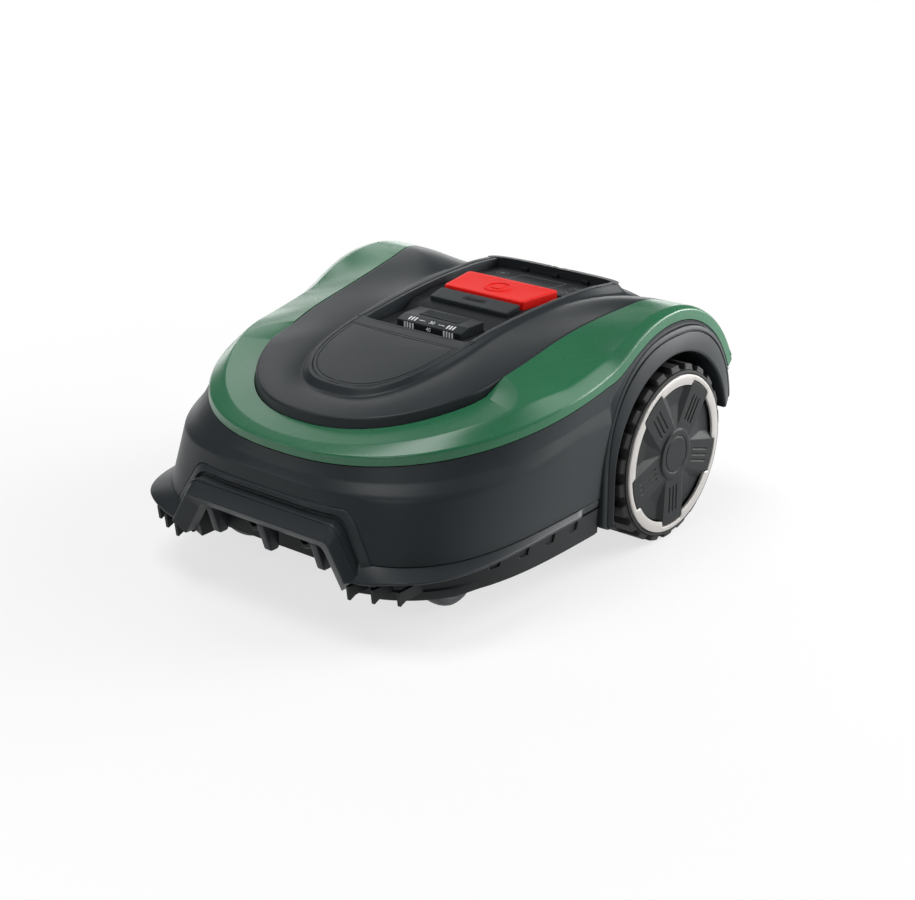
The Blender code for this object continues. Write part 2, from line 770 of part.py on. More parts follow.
def make_wheel_arches():
    """A flange round each wheel, proud towards its opening, with the liner and the wall behind the wheel."""
    seam = [crown_point(a, -GAP) for a in arch_angles()]
    edge = arch_circle(ARCH_OPENING_RADIUS)
    back = arch_circle(ARCH_OPENING_RADIUS + WALL)
    hole = arch_circle(ARCH_AXLE_ROOM)
    wall_face = ARCH_WALL_X + WALL
    lines = [(seam, ARCH_FLANGE_BACK_X), (seam, ARCH_SEAM_X), (edge, ARCH_LIP_X), (edge, wall_face),
             (hole, wall_face), (hole, ARCH_WALL_X), (back, ARCH_WALL_X), (back, ARCH_FLANGE_BACK_X)]
    rows = [[(x, line[0][0], ARCH_FOOT_Z)] + [(x, y, z) for y, z in line] for line, x in lines]
    for side, sign in SIDES:
        mesh = loft(np.array(rows).transpose(1, 0, 2), ring=True, capped=True)
        add_part(f"{side}_wheel_arch", mirrored(mesh, sign), "dark")


# Rear grip

def grip_outline(inset):
    """A pill outline (x, z) for the carrying grip at the back."""
    turns = np.linspace(-math.pi / 2, math.pi / 2, 9)
    radius = GRIP_HALF_HEIGHT - inset
    right = [(GRIP_HALF_LENGTH + radius * math.cos(a), GRIP_Z + radius * math.sin(a)) for a in turns]
    return right + [(-x, z) for x, z in right[::-1]]


def grip_mouth(z):
    """y of the cup's mouth, just inside the sloping rear wall."""
    return 192 * MM + (z - 57.2 * MM) * 0.34


def make_rear_grip():
    """The cup that fingers reach into at the back."""
    outer = grip_outline(GAP)
    inner = grip_outline(WALL)
    back = grip_mouth(GRIP_Z) - GRIP_DEPTH
    rows = [[(x, back, z) for x, z in outer], [(x, grip_mouth(z), z) for x, z in outer],
            [(x, grip_mouth(z), z) for x, z in inner], [(x, back + WALL, z) for x, z in inner]]
    add_part("rear_grip", loft(rows, ring=True, capped=True), "black")


# Chassis

def chassis_solid(inset, low, high):
    """The tray's outer form between two levels, drawn in by a wall."""
    half = stations(FRONT_STEPS, SIDE_STEPS, REAR_STEPS)
    low_x, low_y = CHASSIS_LOW.at(half)
    high_x, high_y = CHASSIS_HIGH.at(half)
    rows = []
    for level in (low, high):
        share = (level - CHASSIS_BOTTOM) / (CHASSIS_TOP - CHASSIS_BOTTOM)
        x, y = low_x + (high_x - low_x) * share, low_y + (high_y - low_y) * share
        draw_in = 1 - inset / np.hypot(x, y)
        row = points(x * draw_in, y * draw_in, level)
        rows.append(np.concatenate([row, row[-2:0:-1] * (-1, 1, 1)]))
    return loft(rows, ring=True, capped=True)


def bay_space(sign, grow):
    """The space of one drive wheel beside the tray."""
    mesh = box((BAY_X - grow, BAY_FRONT_Y - grow, 0), (200 * MM, 230 * MM, 300 * MM))
    return mirrored(mesh, sign)


def port_space(grow):
    """The charging port's space in front of the tray."""
    half = PORT_HALF_WIDTH + grow
    return box((-half, -260 * MM, 0), (half, PORT_BACK_Y + grow, 300 * MM))


def drum(x, y, radius, low, high, sides=ROUND_SIDES):
    """An upright cylinder between two levels."""
    return cylinder((x, y, low), high - low, radius, sides=sides)


def deck_drum(radius, low, high):
    """An upright cylinder about the cutting deck's axis."""
    return drum(0, DECK_Y, radius, low, high, sides=32)


def make_chassis():
    """The tray: floor and walls, cutting deck, caster pockets, wheel bays and the port's walls."""
    item = add_part("chassis_tray", chassis_solid(0, CHASSIS_BOTTOM, CHASSIS_TOP), "black")
    cut(item, "port_space", port_space(0))
    hollow = add_cutter("tray_hollow", chassis_solid(CHASSIS_WALL, CHASSIS_FLOOR, 90 * MM))
    cut(hollow, "keep_port", port_space(CHASSIS_WALL))
    deck_outer = DECK_RADIUS + CHASSIS_WALL
    pocket_outer = CASTER_POCKET_RADIUS + CHASSIS_WALL
    cut(hollow, "keep_deck", deck_drum(deck_outer, 0, 300 * MM))
    for side, sign in SIDES:
        cut(item, f"{side}_bay", bay_space(sign, 0))
        cut(hollow, f"keep_{side}_bay", bay_space(sign, CHASSIS_WALL))
        cut(hollow, f"keep_{side}_pocket", drum(sign * CASTER_X, CASTER_Y, pocket_outer, 0, 300 * MM))
    boolean(item, hollow, "DIFFERENCE")
    dome_low = 50 * MM
    lap = 0.3 * MM
    join(item, "deck_dome", deck_drum(deck_outer - lap, dome_low, DECK_ROOF_TOP))
    wall_back = PORT_BACK_Y + CHASSIS_WALL - lap
    join(item, "port_wall", box((-80 * MM, PORT_BACK_Y + lap, dome_low), (80 * MM, wall_back, 83 * MM)))
    join(item, "port_roof", box((-72 * MM, -201 * MM, 80 * MM), (72 * MM, PORT_BACK_Y + MM, 82.6 * MM)))
    for side, sign in SIDES:
        cap = drum(sign * CASTER_X, CASTER_Y, pocket_outer - lap, dome_low, DECK_ROOF_TOP - lap)
        join(item, f"{side}_pocket_cap", cap)
    cut(item, "deck_space", deck_drum(DECK_RADIUS, 0, DECK_ROOF_UNDER))
    cut(item, "carriage_hole", deck_drum(CARRIAGE_RADIUS + 2 * MM, 60 * MM, 90 * MM))
    for side, sign in SIDES:
        x = sign * CASTER_X
        cut(item, f"{side}_pocket", drum(x, CASTER_Y, CASTER_POCKET_RADIUS, 0, DECK_ROOF_UNDER))
        cut(item, f"{side}_stem_hole", drum(x, CASTER_Y, CASTER_STEM_RADIUS + GAP, 60 * MM, 90 * MM))
        add_combs(item, side, sign)
        cut_notches(item, side, sign)


def add_combs(item, side, sign):
    """Three fins ahead of each caster that part the grass."""
    for number, (tip_x, tip_y) in enumerate(((94.3, -218), (113.2, -211.5), (131.4, -202.5))):
        root = CHASSIS_LOW.front_y(tip_x * MM) / MM + 1.2
        fin = [(tip_y, 49.5), (tip_y + 1.5, 37.5), (tip_y + 8, 40), (root, 40), (root, 49.5)]
        outline = [(y * MM, z * MM) for y, z in fin]
        mesh = prism(outline, "X", (tip_x - 1.5) * MM, (tip_x + 1.5) * MM)
        join(item, f"{side}_comb_{number}", mirrored(mesh, sign))


def cut_notches(item, side, sign):
    """Four notches along the tray's upper edge, below the bumper's rim."""
    half = [(NOTCH_FOOT_HALF, NOTCH_FOOT_Z), (NOTCH_TOP_HALF, CHASSIS_TOP + 3 * MM)]
    outline = [(-y, z) for y, z in half[::-1]] + half
    for number, y in enumerate(NOTCH_MIDDLES_Y):
        x, ahead = CHASSIS_HIGH.front_x(y), CHASSIS_HIGH.front_x(y + MM)
        turn = Matrix.Rotation(math.atan2(x - ahead, MM), 4, "Z")
        mesh = prism(outline, "X", -NOTCH_DEPTH, 20 * MM)
        mesh.transform(Matrix.Translation((x, y, 0)) @ turn)
        cut(item, f"{side}_notch_{number}", mirrored(mesh, sign))


# Inside the tray

def make_power_parts():
    """The battery on the tray's floor and the sealed electronics on top of it."""
    battery_top = 88 * MM
    battery = box((-52 * MM, 128 * MM, CHASSIS_FLOOR + GAP), (52 * MM, 168 * MM, battery_top))
    round_edges(add_part("battery_pack", battery, "black"), 4 * MM)
    case = box((-50 * MM, 118 * MM, battery_top + GAP), (50 * MM, 160 * MM, 118 * MM))
    round_edges(add_part("control_box", case, "grey"), 3 * MM)


def on_axle(sign, start, length, radius, sides=ROUND_SIDES):
    """A cylinder on a drive wheel's axis."""
    return mirrored(cylinder((start, WHEEL_Y, WHEEL_Z), length, radius, "X", sides), sign)


def make_drive_units():
    """A motor with its gearbox for each drive wheel, on a foot on the tray's floor."""
    for side, sign in SIDES:
        item = add_part(f"{side}_drive_unit", on_axle(sign, 66 * MM, 40 * MM, 19 * MM), "grey")
        join(item, f"{side}_gearbox", on_axle(sign, 104 * MM, 15 * MM, 31 * MM))
        join(item, f"{side}_drive_nose", on_axle(sign, 118 * MM, 9 * MM, 12 * MM, 16))
        foot = box((107 * MM, WHEEL_Y - 17 * MM, CHASSIS_FLOOR + GAP), (118 * MM, WHEEL_Y + 17 * MM, 60 * MM))
        join(item, f"{side}_drive_foot", mirrored(foot, sign))
        cut(item, f"{side}_drive_bore", on_axle(sign, 114 * MM, 30 * MM, AXLE_RADIUS + GAP, 16))


# Drive wheels

def tyre_mesh():
    """A tyre whose tread steps between lugs and grooves, its two halves half a pitch apart."""
    per_lug = 4
    count = TYRE_LUGS * per_lug
    angles = np.linspace(0, 2 * math.pi, count, endpoint=False)
    place = np.arange(count) % per_lug
    outer_half = np.where(place < 2, TYRE_RADIUS, TYRE_GROOVE_RADIUS)
    inner_half = np.where(place >= 2, TYRE_RADIUS, TYRE_GROOVE_RADIUS)
    bead = np.full(count, TYRE_BEAD_RADIUS)
    groove = np.full(count, TYRE_GROOVE_RADIUS)
    middle = (TYRE_INNER_X + TYRE_OUTER_X) / 2
    sections = [(bead, TYRE_INNER_X), (inner_half, TYRE_INNER_X + 3 * MM), (inner_half, middle - 0.5 * MM),
                (outer_half, middle + 0.5 * MM), (outer_half, TYRE_OUTER_X - 3 * MM), (groove, TYRE_OUTER_X),
                (bead, TYRE_OUTER_X - 0.6 * MM)]
    return wheel_band(sections, angles)


def spoke_angles():
    """Eight angles for each spoke, and which of them lie on the spoke."""
    per_spoke = 8
    count = SPOKES * per_spoke
    angles = SPOKE_PHASE + 2 * math.pi * (np.arange(count) - 1) / count
    return angles, np.arange(count) % per_spoke < 3


def trim_mesh():
    """The trim ring: plain outside, its inner edge stepped out where the spokes reach in."""
    angles, on_spoke = spoke_angles()
    inner = np.where(on_spoke, TRIM_NARROW_INNER, TRIM_WIDE_INNER)
    outer = np.full(len(angles), TRIM_RADIUS)
    sections = [(outer, TRIM_BACK_X), (outer, TRIM_FACE_X - 0.5 * MM), (outer - 0.5 * MM, TRIM_FACE_X),
                (inner, TRIM_FACE_X), (inner, TRIM_BACK_X)]
    return wheel_band(sections, angles)


def hub_mesh():
    """The hub cover: five spokes that flare out to the trim ring, with sloping facets between them."""
    angles, on_spoke = spoke_angles()
    level = np.ones(len(angles))
    foot = np.where(on_spoke, TRIM_NARROW_INNER, TRIM_WIDE_INNER) - GAP
    ridge = np.where(on_spoke, TRIM_NARROW_INNER - 2 * MM, 27 * MM)
    sections = [(foot, HUB_BACK_X), (foot, 177.6 * MM), (ridge, 180.2 * MM), (level * 23 * MM, 180.6 * MM),
                (level * 21.5 * MM, HUB_FACE_X)]
    return loft(wheel_rows(sections, angles), ring=True, capped=True)


def rim_profile():
    """The wheel's rim, down its outer side: the drum that carries the tyre, a web and a hub on the axle."""
    bore = AXLE_RADIUS + 0.3 * MM
    seat = TYRE_BEAD_RADIUS - GAP
    ledge = TRIM_NARROW_INNER + 0.4 * MM
    return [(seat, 178 * MM), (seat, 140 * MM), (63 * MM, 140 * MM), (63 * MM, 171 * MM), (16 * MM, 171 * MM),
            (16 * MM, 132 * MM), (bore, 132 * MM), (bore, 175.8 * MM), (ledge, 175.8 * MM), (ledge, 178 * MM)]


def make_wheels():
    """Both drive wheels: tyre, rim, trim ring, hub cover and axle, with their origins on the axle."""
    centre = (0, WHEEL_Y, WHEEL_Z)
    for side, sign in SIDES:
        turned(f"{side}_rim", rim_profile(), "black", centre, "X" if sign > 0 else "-X")
        add_part(f"{side}_tyre", mirrored(tyre_mesh(), sign), "rubber", centre)
        add_part(f"{side}_trim_ring", mirrored(trim_mesh(), sign), "silver", centre)
        add_part(f"{side}_hub_cover", mirrored(hub_mesh(), sign), "dark", centre)
        add_part(f"{side}_axle", on_axle(sign, 115 * MM, 35 * MM, AXLE_RADIUS), "steel", centre)


# Casters

def make_casters():
    """Both casters: a fork that swivels in the tray and a wheel on a pin behind its stem."""
    for side, sign in SIDES:
        make_caster(side, sign * CASTER_X)


def make_caster(side, x):
    """Fork, pin, wheel and clip of one caster."""
    swivel = (x, CASTER_Y, 66 * MM)
    wheel_y = CASTER_Y + CASTER_TRAIL
    cheek = CASTER_HALF_WIDTH + 1.5 * MM
    thick = 3 * MM
    bridge_low, bridge_high = 62 * MM, 66.5 * MM
    legs = [(wheel_y - 8 * MM, 25 * MM), (wheel_y - 4 * MM, 21 * MM), (wheel_y + 4 * MM, 21 * MM),
            (wheel_y + 8 * MM, 25 * MM), (wheel_y + 10 * MM, bridge_high), (CASTER_Y - 12 * MM, bridge_high)]
    block = prism(legs, "X", x - cheek - thick, x + cheek + thick)
    fork = add_part(f"{side}_caster_fork", block, "dark", swivel)
    cut(fork, f"{side}_fork_slot", box((x - cheek, -200 * MM, 0), (x + cheek, 0, bridge_low)))
    stem = cylinder((x, CASTER_Y, 64 * MM), 24 * MM, CASTER_STEM_RADIUS, sides=16)
    join(fork, f"{side}_fork_stem", stem)
    reach = cheek + thick - 0.8 * MM
    bore = cylinder((x - reach, wheel_y, CASTER_RADIUS), 2 * reach, CASTER_PIN_RADIUS + GAP, "X", 12)
    cut(fork, f"{side}_pin_bore", bore)
    pin = cylinder((x - reach + GAP, wheel_y, CASTER_RADIUS), 2 * (reach - GAP), CASTER_PIN_RADIUS, "X", 12)
    add_part(f"{side}_caster_pin", pin, "steel", swivel)
    half = CASTER_HALF_WIDTH
    bore_radius = CASTER_PIN_RADIUS + GAP
    tread = [(24 * MM, half), (28.5 * MM, half - 3 * MM), (CASTER_RADIUS, 4 * MM), (CASTER_RADIUS, -4 * MM),
             (28.5 * MM, 3 * MM - half), (24 * MM, -half), (bore_radius, -half), (bore_radius, half)]
    turned(f"{side}_caster_wheel", tread, "grey", (x, wheel_y, CASTER_RADIUS), "X")
    seat = CASTER_STEM_RADIUS + 0.3 * MM
    clip = [(10 * MM, 3 * MM), (10 * MM, 0), (seat, 0), (seat, 3 * MM)]
    turned(f"{side}_caster_clip", clip, "black", (x, CASTER_Y, DECK_ROOF_TOP + GAP), "Z", 16)


# Cutter

def make_cutter():
    """The carriage on its guide posts, its motor and spindle, the blade disc and the blades."""
    centre = (0, DECK_Y, 0)
    make_carriage(centre)
    bore = SPINDLE_RADIUS + GAP
    motor = [(0, 116 * MM), (8 * MM, 116 * MM), (8 * MM, 112 * MM), (22 * MM, 112 * MM),
             (MOTOR_RADIUS, 106 * MM), (MOTOR_RADIUS, 56 * MM), (bore, 56 * MM), (bore, 70 * MM), (0, 70 * MM)]
    turned("cutter_motor", motor, "grey", centre, hollow=False)
    low = CUT_HEIGHT + BLADE_THICKNESS + GAP
    hub, plate = low + 8 * MM, low + 3.4 * MM
    disc = [(26 * MM, hub), (34 * MM, plate), (DISC_RADIUS - 2 * MM, plate), (DISC_RADIUS, low + 2 * MM),
            (DISC_RADIUS - 2 * MM, low), (bore, low), (bore, hub)]
    blade_disc = turned("blade_disc", disc, "black", centre, sides=32)
    spindle = cylinder((0, DECK_Y, low), 69 * MM - low, SPINDLE_RADIUS, sides=24)
    add_part("cutter_spindle", spindle, "steel", centre)
    for number in range(1, BLADE_COUNT + 1):
        turn = Matrix.Rotation(math.pi / 2 + 2 * math.pi * (number - 1) / BLADE_COUNT, 4, "Z")
        place = Matrix.Translation(centre) @ turn
        pivot = place @ Vector((BLADE_PIVOT_RADIUS, 0, CUT_HEIGHT))
        hole = cylinder((pivot.x, pivot.y, 20 * MM), 40 * MM, 2.7 * MM, sides=12)
        cut(blade_disc, f"screw_hole_{number}", hole)
        make_blade(number, place, pivot)


def make_carriage(centre):
    """The flanged tube that holds the motor, and the two posts that it slides on."""
    bore = MOTOR_RADIUS + 0.4 * MM
    foot = 54 * MM
    tube = [(58 * MM, FLANGE_HIGH), (58 * MM, FLANGE_LOW), (CARRIAGE_RADIUS, FLANGE_LOW),
            (CARRIAGE_RADIUS, foot), (bore, foot), (bore, FLANGE_HIGH)]
    carriage = turned("cutter_carriage", tube, "black", centre)
    for side, sign in SIDES:
        x = sign * GUIDE_X
        boss = cylinder((x, DECK_Y, FLANGE_LOW + MM), 20 * MM, 7.5 * MM, sides=16)
        join(carriage, f"{side}_slide_boss", boss)
        hole = cylinder((x, DECK_Y, 60 * MM), 80 * MM, GUIDE_RADIUS + GAP, sides=16)
        cut(carriage, f"{side}_slide_bore", hole)
        post = cylinder((x, DECK_Y, DECK_ROOF_TOP + GAP), 66 * MM, GUIDE_RADIUS, sides=16)
        add_part(f"{side}_guide_post", post, "steel")


def make_blade(number, place, pivot):
    """One blade and the shoulder screw that it swings on."""
    reach = BLADE_REACH / MM
    half = [(-7, 4.5), (-4.5, 7), (reach - 5, 8), (reach, 3)]
    outline = half + [(x, -y) for x, y in half[::-1]]
    mesh = prism([(BLADE_PIVOT_RADIUS + x * MM, y * MM) for x, y in outline], "Z",
                 CUT_HEIGHT, CUT_HEIGHT + BLADE_THICKNESS)
    mesh.transform(place)
    blade = add_part(f"blade_{number}", mesh, "steel", pivot)
    cut(blade, f"blade_hole_{number}", cylinder((pivot.x, pivot.y, 20 * MM), 40 * MM, 3.4 * MM, sides=12))
    shoulder = BLADE_THICKNESS + GAP / 2
    screw = [(0, 4.6 * MM), (2.3 * MM, 4.6 * MM), (2.3 * MM, shoulder), (3 * MM, shoulder), (3 * MM, -GAP),
             (6 * MM, -GAP), (6 * MM, -2 * MM), (5 * MM, -3.5 * MM), (0, -3.5 * MM)]
    turned(f"blade_screw_{number}", screw, "steel", pivot, sides=12, hollow=False)


# Controls

def well_floor(y):
    """The well's floor: a pit for the height adjuster, a ramp, and a deck for the button and the keys."""
    return (178.3 * MM + 8.2 * MM * ramp(y, 26.5 * MM, 46 * MM) + 3.5 * MM * ramp(y, 50 * MM, 70 * MM)
            - 1.5 * MM * ramp(y, 110 * MM, 178 * MM))


def well_half_width(y):
    """Half the well's inner width at a distance from front to back."""
    x, at_y = WELL_EDGE.at(np.linspace(0, 3, 400))
    return np.interp(y, at_y, x) - TRAY_WALL - 1.5 * MM


def make_control_tray():
    """The lining of the well, with a slot for the height adjuster and a pan for the stop button."""
    front = -WELL_EDGE.reach + TRAY_WALL + MM
    back = WELL_EDGE.back - TRAY_WALL - 2 * MM
    lip = 0.2 * MM
    inner = np.array([-17, -7, 26.5, 33, 40, 46, 53, 61, 70, 110, 172]) * MM
    rows = []
    for y in np.concatenate([[front, front + lip], inner, [back - lip, back]]):
        half = well_half_width(y) - 6 * MM * (1 - ramp(y, front, -7 * MM) + ramp(y, 165 * MM, back))
        rim = platform_height(y) - 0.5 * MM
        floor = rim if y in (front, back) else well_floor(y)
        middle = min(40 * MM, 0.9 * half)
        across = np.array([-half, lip - half, -middle, middle, half - lip, half])
        rows.append(points(across, y, np.array([rim, floor, floor, floor, floor, rim])))
    item = add_part("control_tray", loft(rows), "black")
    wall(item, TRAY_WALL)
    room = 1 * MM
    slot = box((-ADJUSTER_HALF_WIDTH - room, ADJUSTER_FRONT_Y - room, 150 * MM),
               (ADJUSTER_HALF_WIDTH + room, ADJUSTER_BACK_Y + room, 210 * MM))
    cut(item, "adjuster_slot", slot)
    floor = well_floor(STOP_CENTRE_Y) - MM
    join(item, "stop_pan", slab(stop_corners(2.4 * MM), 8 * MM, flat_levels(STOP_PAN_Z - 2 * MM, floor)))
    cup = drum(0, STOP_CENTRE_Y, SPRING_CUP_RADIUS + 2 * MM, SPRING_SEAT_Z - 2 * MM, STOP_PAN_Z - MM)
    join(item, "spring_cup", cup)
    cut(item, "stop_room", slab(stop_corners(0.6 * MM), 7 * MM, flat_levels(STOP_PAN_Z, 210 * MM)))
    cut(item, "spring_room", drum(0, STOP_CENTRE_Y, SPRING_CUP_RADIUS, SPRING_SEAT_Z, 200 * MM))


def flat_levels(low, high):
    """Two level heights for a straight-sided slab."""
    return [(0, lambda y: low), (0, lambda y: high)]


def stop_corners(grow):
    """The stop button's outline, grown all round."""
    front, back = STOP_FRONT_Y - grow, STOP_BACK_Y + grow
    return [(-STOP_FRONT_HALF - grow, front), (STOP_FRONT_HALF + grow, front),
            (STOP_BACK_HALF + grow, back), (-STOP_BACK_HALF - grow, back)]


def make_height_adjuster():
    """The block with the height scale, and the post that ties it to the cutter's carriage."""
    top, pitch = 187 * MM, 4.5 * MM
    profile = [(ADJUSTER_FRONT_Y, ADJUSTER_FOOT_Z), (ADJUSTER_FRONT_Y, 183.9 * MM), (4 * MM, 186.5 * MM)]
    for rib in range(4):
        y = 7 * MM + pitch * rib
        profile += [(y, top), (y + 0.6 * MM, top + MM), (y + 2 * MM, top + MM), (y + 2.6 * MM, top)]
    profile += [(ADJUSTER_BACK_Y - MM, top), (ADJUSTER_BACK_Y, top - MM), (ADJUSTER_BACK_Y, ADJUSTER_FOOT_Z)]
    block = prism(profile, "X", -ADJUSTER_HALF_WIDTH, ADJUSTER_HALF_WIDTH)
    add_part("height_adjuster", block, "dark", (0, DECK_Y, CUT_HEIGHT))
    spine = [(-12, 13), (12, 13), (12, 17), (3, 17), (3, 25), (-3, 25), (-3, 17), (-12, 17)]
    post = prism([(x * MM, y * MM) for x, y in spine], "Z", FLANGE_HIGH + GAP, ADJUSTER_FOOT_Z - GAP)
    add_part("lift_post", post, "grey", (0, DECK_Y, CUT_HEIGHT))


def stop_top(y):
    """The button's top, a little higher towards the back."""
    return 195.3 * MM + 1.2 * MM * (y - STOP_FRONT_Y) / (STOP_BACK_Y - STOP_FRONT_Y)


def make_stop_button():
    """The wide button, which slides down into its pan on a sprung stem."""
    levels = [(0, lambda y: STOP_UNDER_Z), (0, lambda y: stop_top(y) - 2 * MM),
              (0.7 * MM, lambda y: stop_top(y) - 0.6 * MM), (2.2 * MM, stop_top)]
    item = add_part("stop_button", slab(stop_corners(0), 7 * MM, levels), "red",
                    (0, STOP_CENTRE_Y, STOP_UNDER_Z))
    stem_low = SPRING_SEAT_Z + 5 * MM
    stem = cylinder((0, STOP_CENTRE_Y, stem_low), STOP_UNDER_Z + MM - stem_low, STOP_STEM_RADIUS, sides=24)
    join(item, "stop_stem", stem)


def make_stop_spring():
    """The coil between the spring cup and the button's underside, as one unbroken wire."""
    turns = np.linspace(0, SPRING_TURNS, SPRING_TURNS * 8 + 1)
    low = SPRING_SEAT_Z + SPRING_WIRE + GAP
    high = STOP_UNDER_Z - SPRING_WIRE - GAP
    path = points(SPRING_RADIUS * np.cos(2 * math.pi * turns),
                  STOP_CENTRE_Y + SPRING_RADIUS * np.sin(2 * math.pi * turns),
                  low + (high - low) * turns / SPRING_TURNS)
    curve = bpy.data.curves.new("stop_spring", "CURVE")
    curve.dimensions = "3D"
    curve.bevel_depth = SPRING_WIRE
    curve.bevel_resolution = 1
    curve.use_fill_caps = True
    spline = curve.splines.new("POLY")
    spline.points.add(len(path) - 1)
    for point, place in zip(spline.points, path):
        point.co = (*place, 1)
    curve.materials.append(finish_of("stop_spring", "steel"))
    PARTS.objects.link(bpy.data.objects.new("stop_spring", curve))
    apart = np.abs(turns[:, None] - turns[None, :]) > 0.5
    distances = np.linalg.norm(path[:, None] - path[None, :], axis=-1)
    print(f"stop_spring: least gap {(distances[apart].min() - 2 * SPRING_WIRE) / MM:.2f} mm")


def on_floor(y):
    """Just above the well's floor."""
    return well_floor(y) + GAP


def make_well_pieces():
    """The bar in front of the button and the key panel behind it."""
    bar = [(-42 * MM, 47.7 * MM), (42 * MM, 47.7 * MM), (43 * MM, 66 * MM), (-43 * MM, 66 * MM)]
    levels = [(0, on_floor), (0, lambda y: 190.8 * MM), (1.2 * MM, lambda y: 192 * MM)]
    add_part("sensor_bar", slab(bar, 4 * MM, levels), "black")
    keys = [(-50 * MM, 120 * MM), (50 * MM, 120 * MM), (54 * MM, 168 * MM), (-54 * MM, 168 * MM)]
    levels = [(0, on_floor), (0, lambda y: on_floor(y) + 0.9 * MM), (0.6 * MM, lambda y: on_floor(y) + 1.3 * MM)]
    add_part("keypad", slab(keys, 5 * MM, levels), "black")


make_green_shell()
make_body_shell()
make_top_hood()
make_nose_panel()
make_front_bumper()
make_contacts()
make_wheel_arches()
make_rear_grip()
make_chassis()
make_power_parts()
make_drive_units()
make_wheels()
make_casters()
make_cutter()
make_control_tray()
make_height_adjuster()
make_stop_button()
make_stop_spring()
make_well_pieces()
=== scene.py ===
"""Looks of the robotic lawn mower: a Blender add-on that also runs as a script.

Shells, bumper, arches and wheels are surfaces over two parameters, written with numpy: rows of points
run across a shell, columns run along it. The same outlines and height laws shape the CAD solids.
Lengths are in millimetres until surface_mesh makes them metres.
"""

import json
import math

import bmesh
import bpy
import numpy as np
from mathutils import Matrix, Vector


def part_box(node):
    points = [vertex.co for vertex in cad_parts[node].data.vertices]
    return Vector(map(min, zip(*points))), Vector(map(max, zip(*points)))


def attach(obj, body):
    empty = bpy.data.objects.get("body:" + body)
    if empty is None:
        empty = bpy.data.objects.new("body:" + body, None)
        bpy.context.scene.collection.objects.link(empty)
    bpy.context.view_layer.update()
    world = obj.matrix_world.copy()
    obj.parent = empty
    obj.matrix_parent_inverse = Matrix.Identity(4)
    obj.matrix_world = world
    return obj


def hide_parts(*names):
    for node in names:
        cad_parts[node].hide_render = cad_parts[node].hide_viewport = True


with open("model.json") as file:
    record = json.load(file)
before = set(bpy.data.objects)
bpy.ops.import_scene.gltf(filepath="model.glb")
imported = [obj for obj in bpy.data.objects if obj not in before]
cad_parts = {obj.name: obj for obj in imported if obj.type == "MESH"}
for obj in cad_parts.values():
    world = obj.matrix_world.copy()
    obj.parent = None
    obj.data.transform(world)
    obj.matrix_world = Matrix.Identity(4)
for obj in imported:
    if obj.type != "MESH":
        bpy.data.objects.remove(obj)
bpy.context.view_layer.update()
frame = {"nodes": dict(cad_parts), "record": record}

bl_info = {
    "name": "Robotic Lawn Mower",
    "version": (1, 0, 0),
    "blender": (4, 5, 0),
    "location": "View3D > Sidebar > Mower",
    "description": "Builds the shells, wheels, controls and finishes of a robotic lawn mower",
    "category": "Add Mesh",
}

MM = 0.001
SIDES = (("left", 1), ("right", -1))
BODY = "mower_body"

# Wheels and arches: the crown is the superellipse of the seam round an arch
WHEEL_Y = 105.6
WHEEL_Z = 77.9
ARCH_Y = 109
ARCH_Z = 79
ARCH_FOOT_Z = 34.5
ARCH_TAIL_Y = 208.9
CROWN_Y = 111
CROWN_HALF = 99
CROWN_RISE = 107
CROWN_POWER = 2.3
SPOKES = 5
SPOKE_PHASE = math.radians(54)
NARROW_INNER = 65
WIDE_INNER = 60.2

# Camera of the photograph
PHOTO_WIDTH = 915
CAMERA_PLACE = (0.954527, -1.158311, 0.672409)
CAMERA_AZIMUTH = math.radians(38.6814)
CAMERA_ELEVATION = math.radians(21.8930)
CAMERA_FOCAL_PIXELS = 1857.86
CAMERA_SENSOR = 36

# Half the floor's width and the lamps, in metres: name, place, height of the aim, width, height, power
FLOOR_HALF = 6
LAMPS = (
    ("side_panel", (1.22, 1.75, 0.6), 0.1, 1.5, 1.1, 57),
    ("side_top", (1.06, 1.06, 1.71), 0.1, 1.1, 1.1, 11),
    ("top_panel", (-0.38, -0.38, 2.2), 0.1, 1.2, 1.0, 25),
    ("front_fill", (0.62, -1.75, 1.2), 0.1, 0.8, 0.8, 7),
    ("front_corner", (-1.29, -1.43, 1.1), 0.1, 0.6, 0.8, 4),
    ("left_panel", (-1.46, 1.22, 1.02), 0.1, 0.9, 0.5, 2.7),
    ("left_top", (-1.5, 0.68, 1.55), 0.1, 0.5, 0.5, 2.2),
    ("rear_strip", (-1.6, 1.4, 0.3), 0.15, 2.2, 0.5, 8),
)

# Plastics by slot: material, colour, roughness, grain per metre, relief, spread of colour, gloss, metallic
PLASTICS = {
    "shell_dark": ("moulded_dark", "dark", 0.38, 1200, 16e-6),
    "shell_green": ("moulded_green", "green", 0.27, 1500, 3e-6, 0.06, 0.5),
    "stop_red": ("moulded_red", "red", 0.42, 1300, 6e-6, 0.06, 0.1),
    "trim_black": ("moulded_black", "black", 0.48, 1100, 18e-6),
    "tyre_rubber": ("tyre_rubber", "rubber", 0.66, 700, 40e-6, 0.18),
    "ring_silver": ("silver_paint", "silver", 0.36, 1800, 8e-6, 0.10, 0.2, 0.45),
    "caster_grey": ("moulded_grey", "grey", 0.5, 1000, 20e-6),
    "housing_grey": ("moulded_grey", "grey", 0.5, 1000, 20e-6),
    "scale_print": ("scale_print", "marks", 0.5, 900, 6e-6, 0.05),
    "key_print": ("key_print", "grey", 0.5, 900, 6e-6, 0.05),
}

# Metals by slot: material, colour, stretch of its lines
METALS = {
    "bare_steel": ("brushed_steel", "steel", (1, 8, 1)),
    "contact_metal": ("plated_contact", "copper", (1, 1, 6)),
}


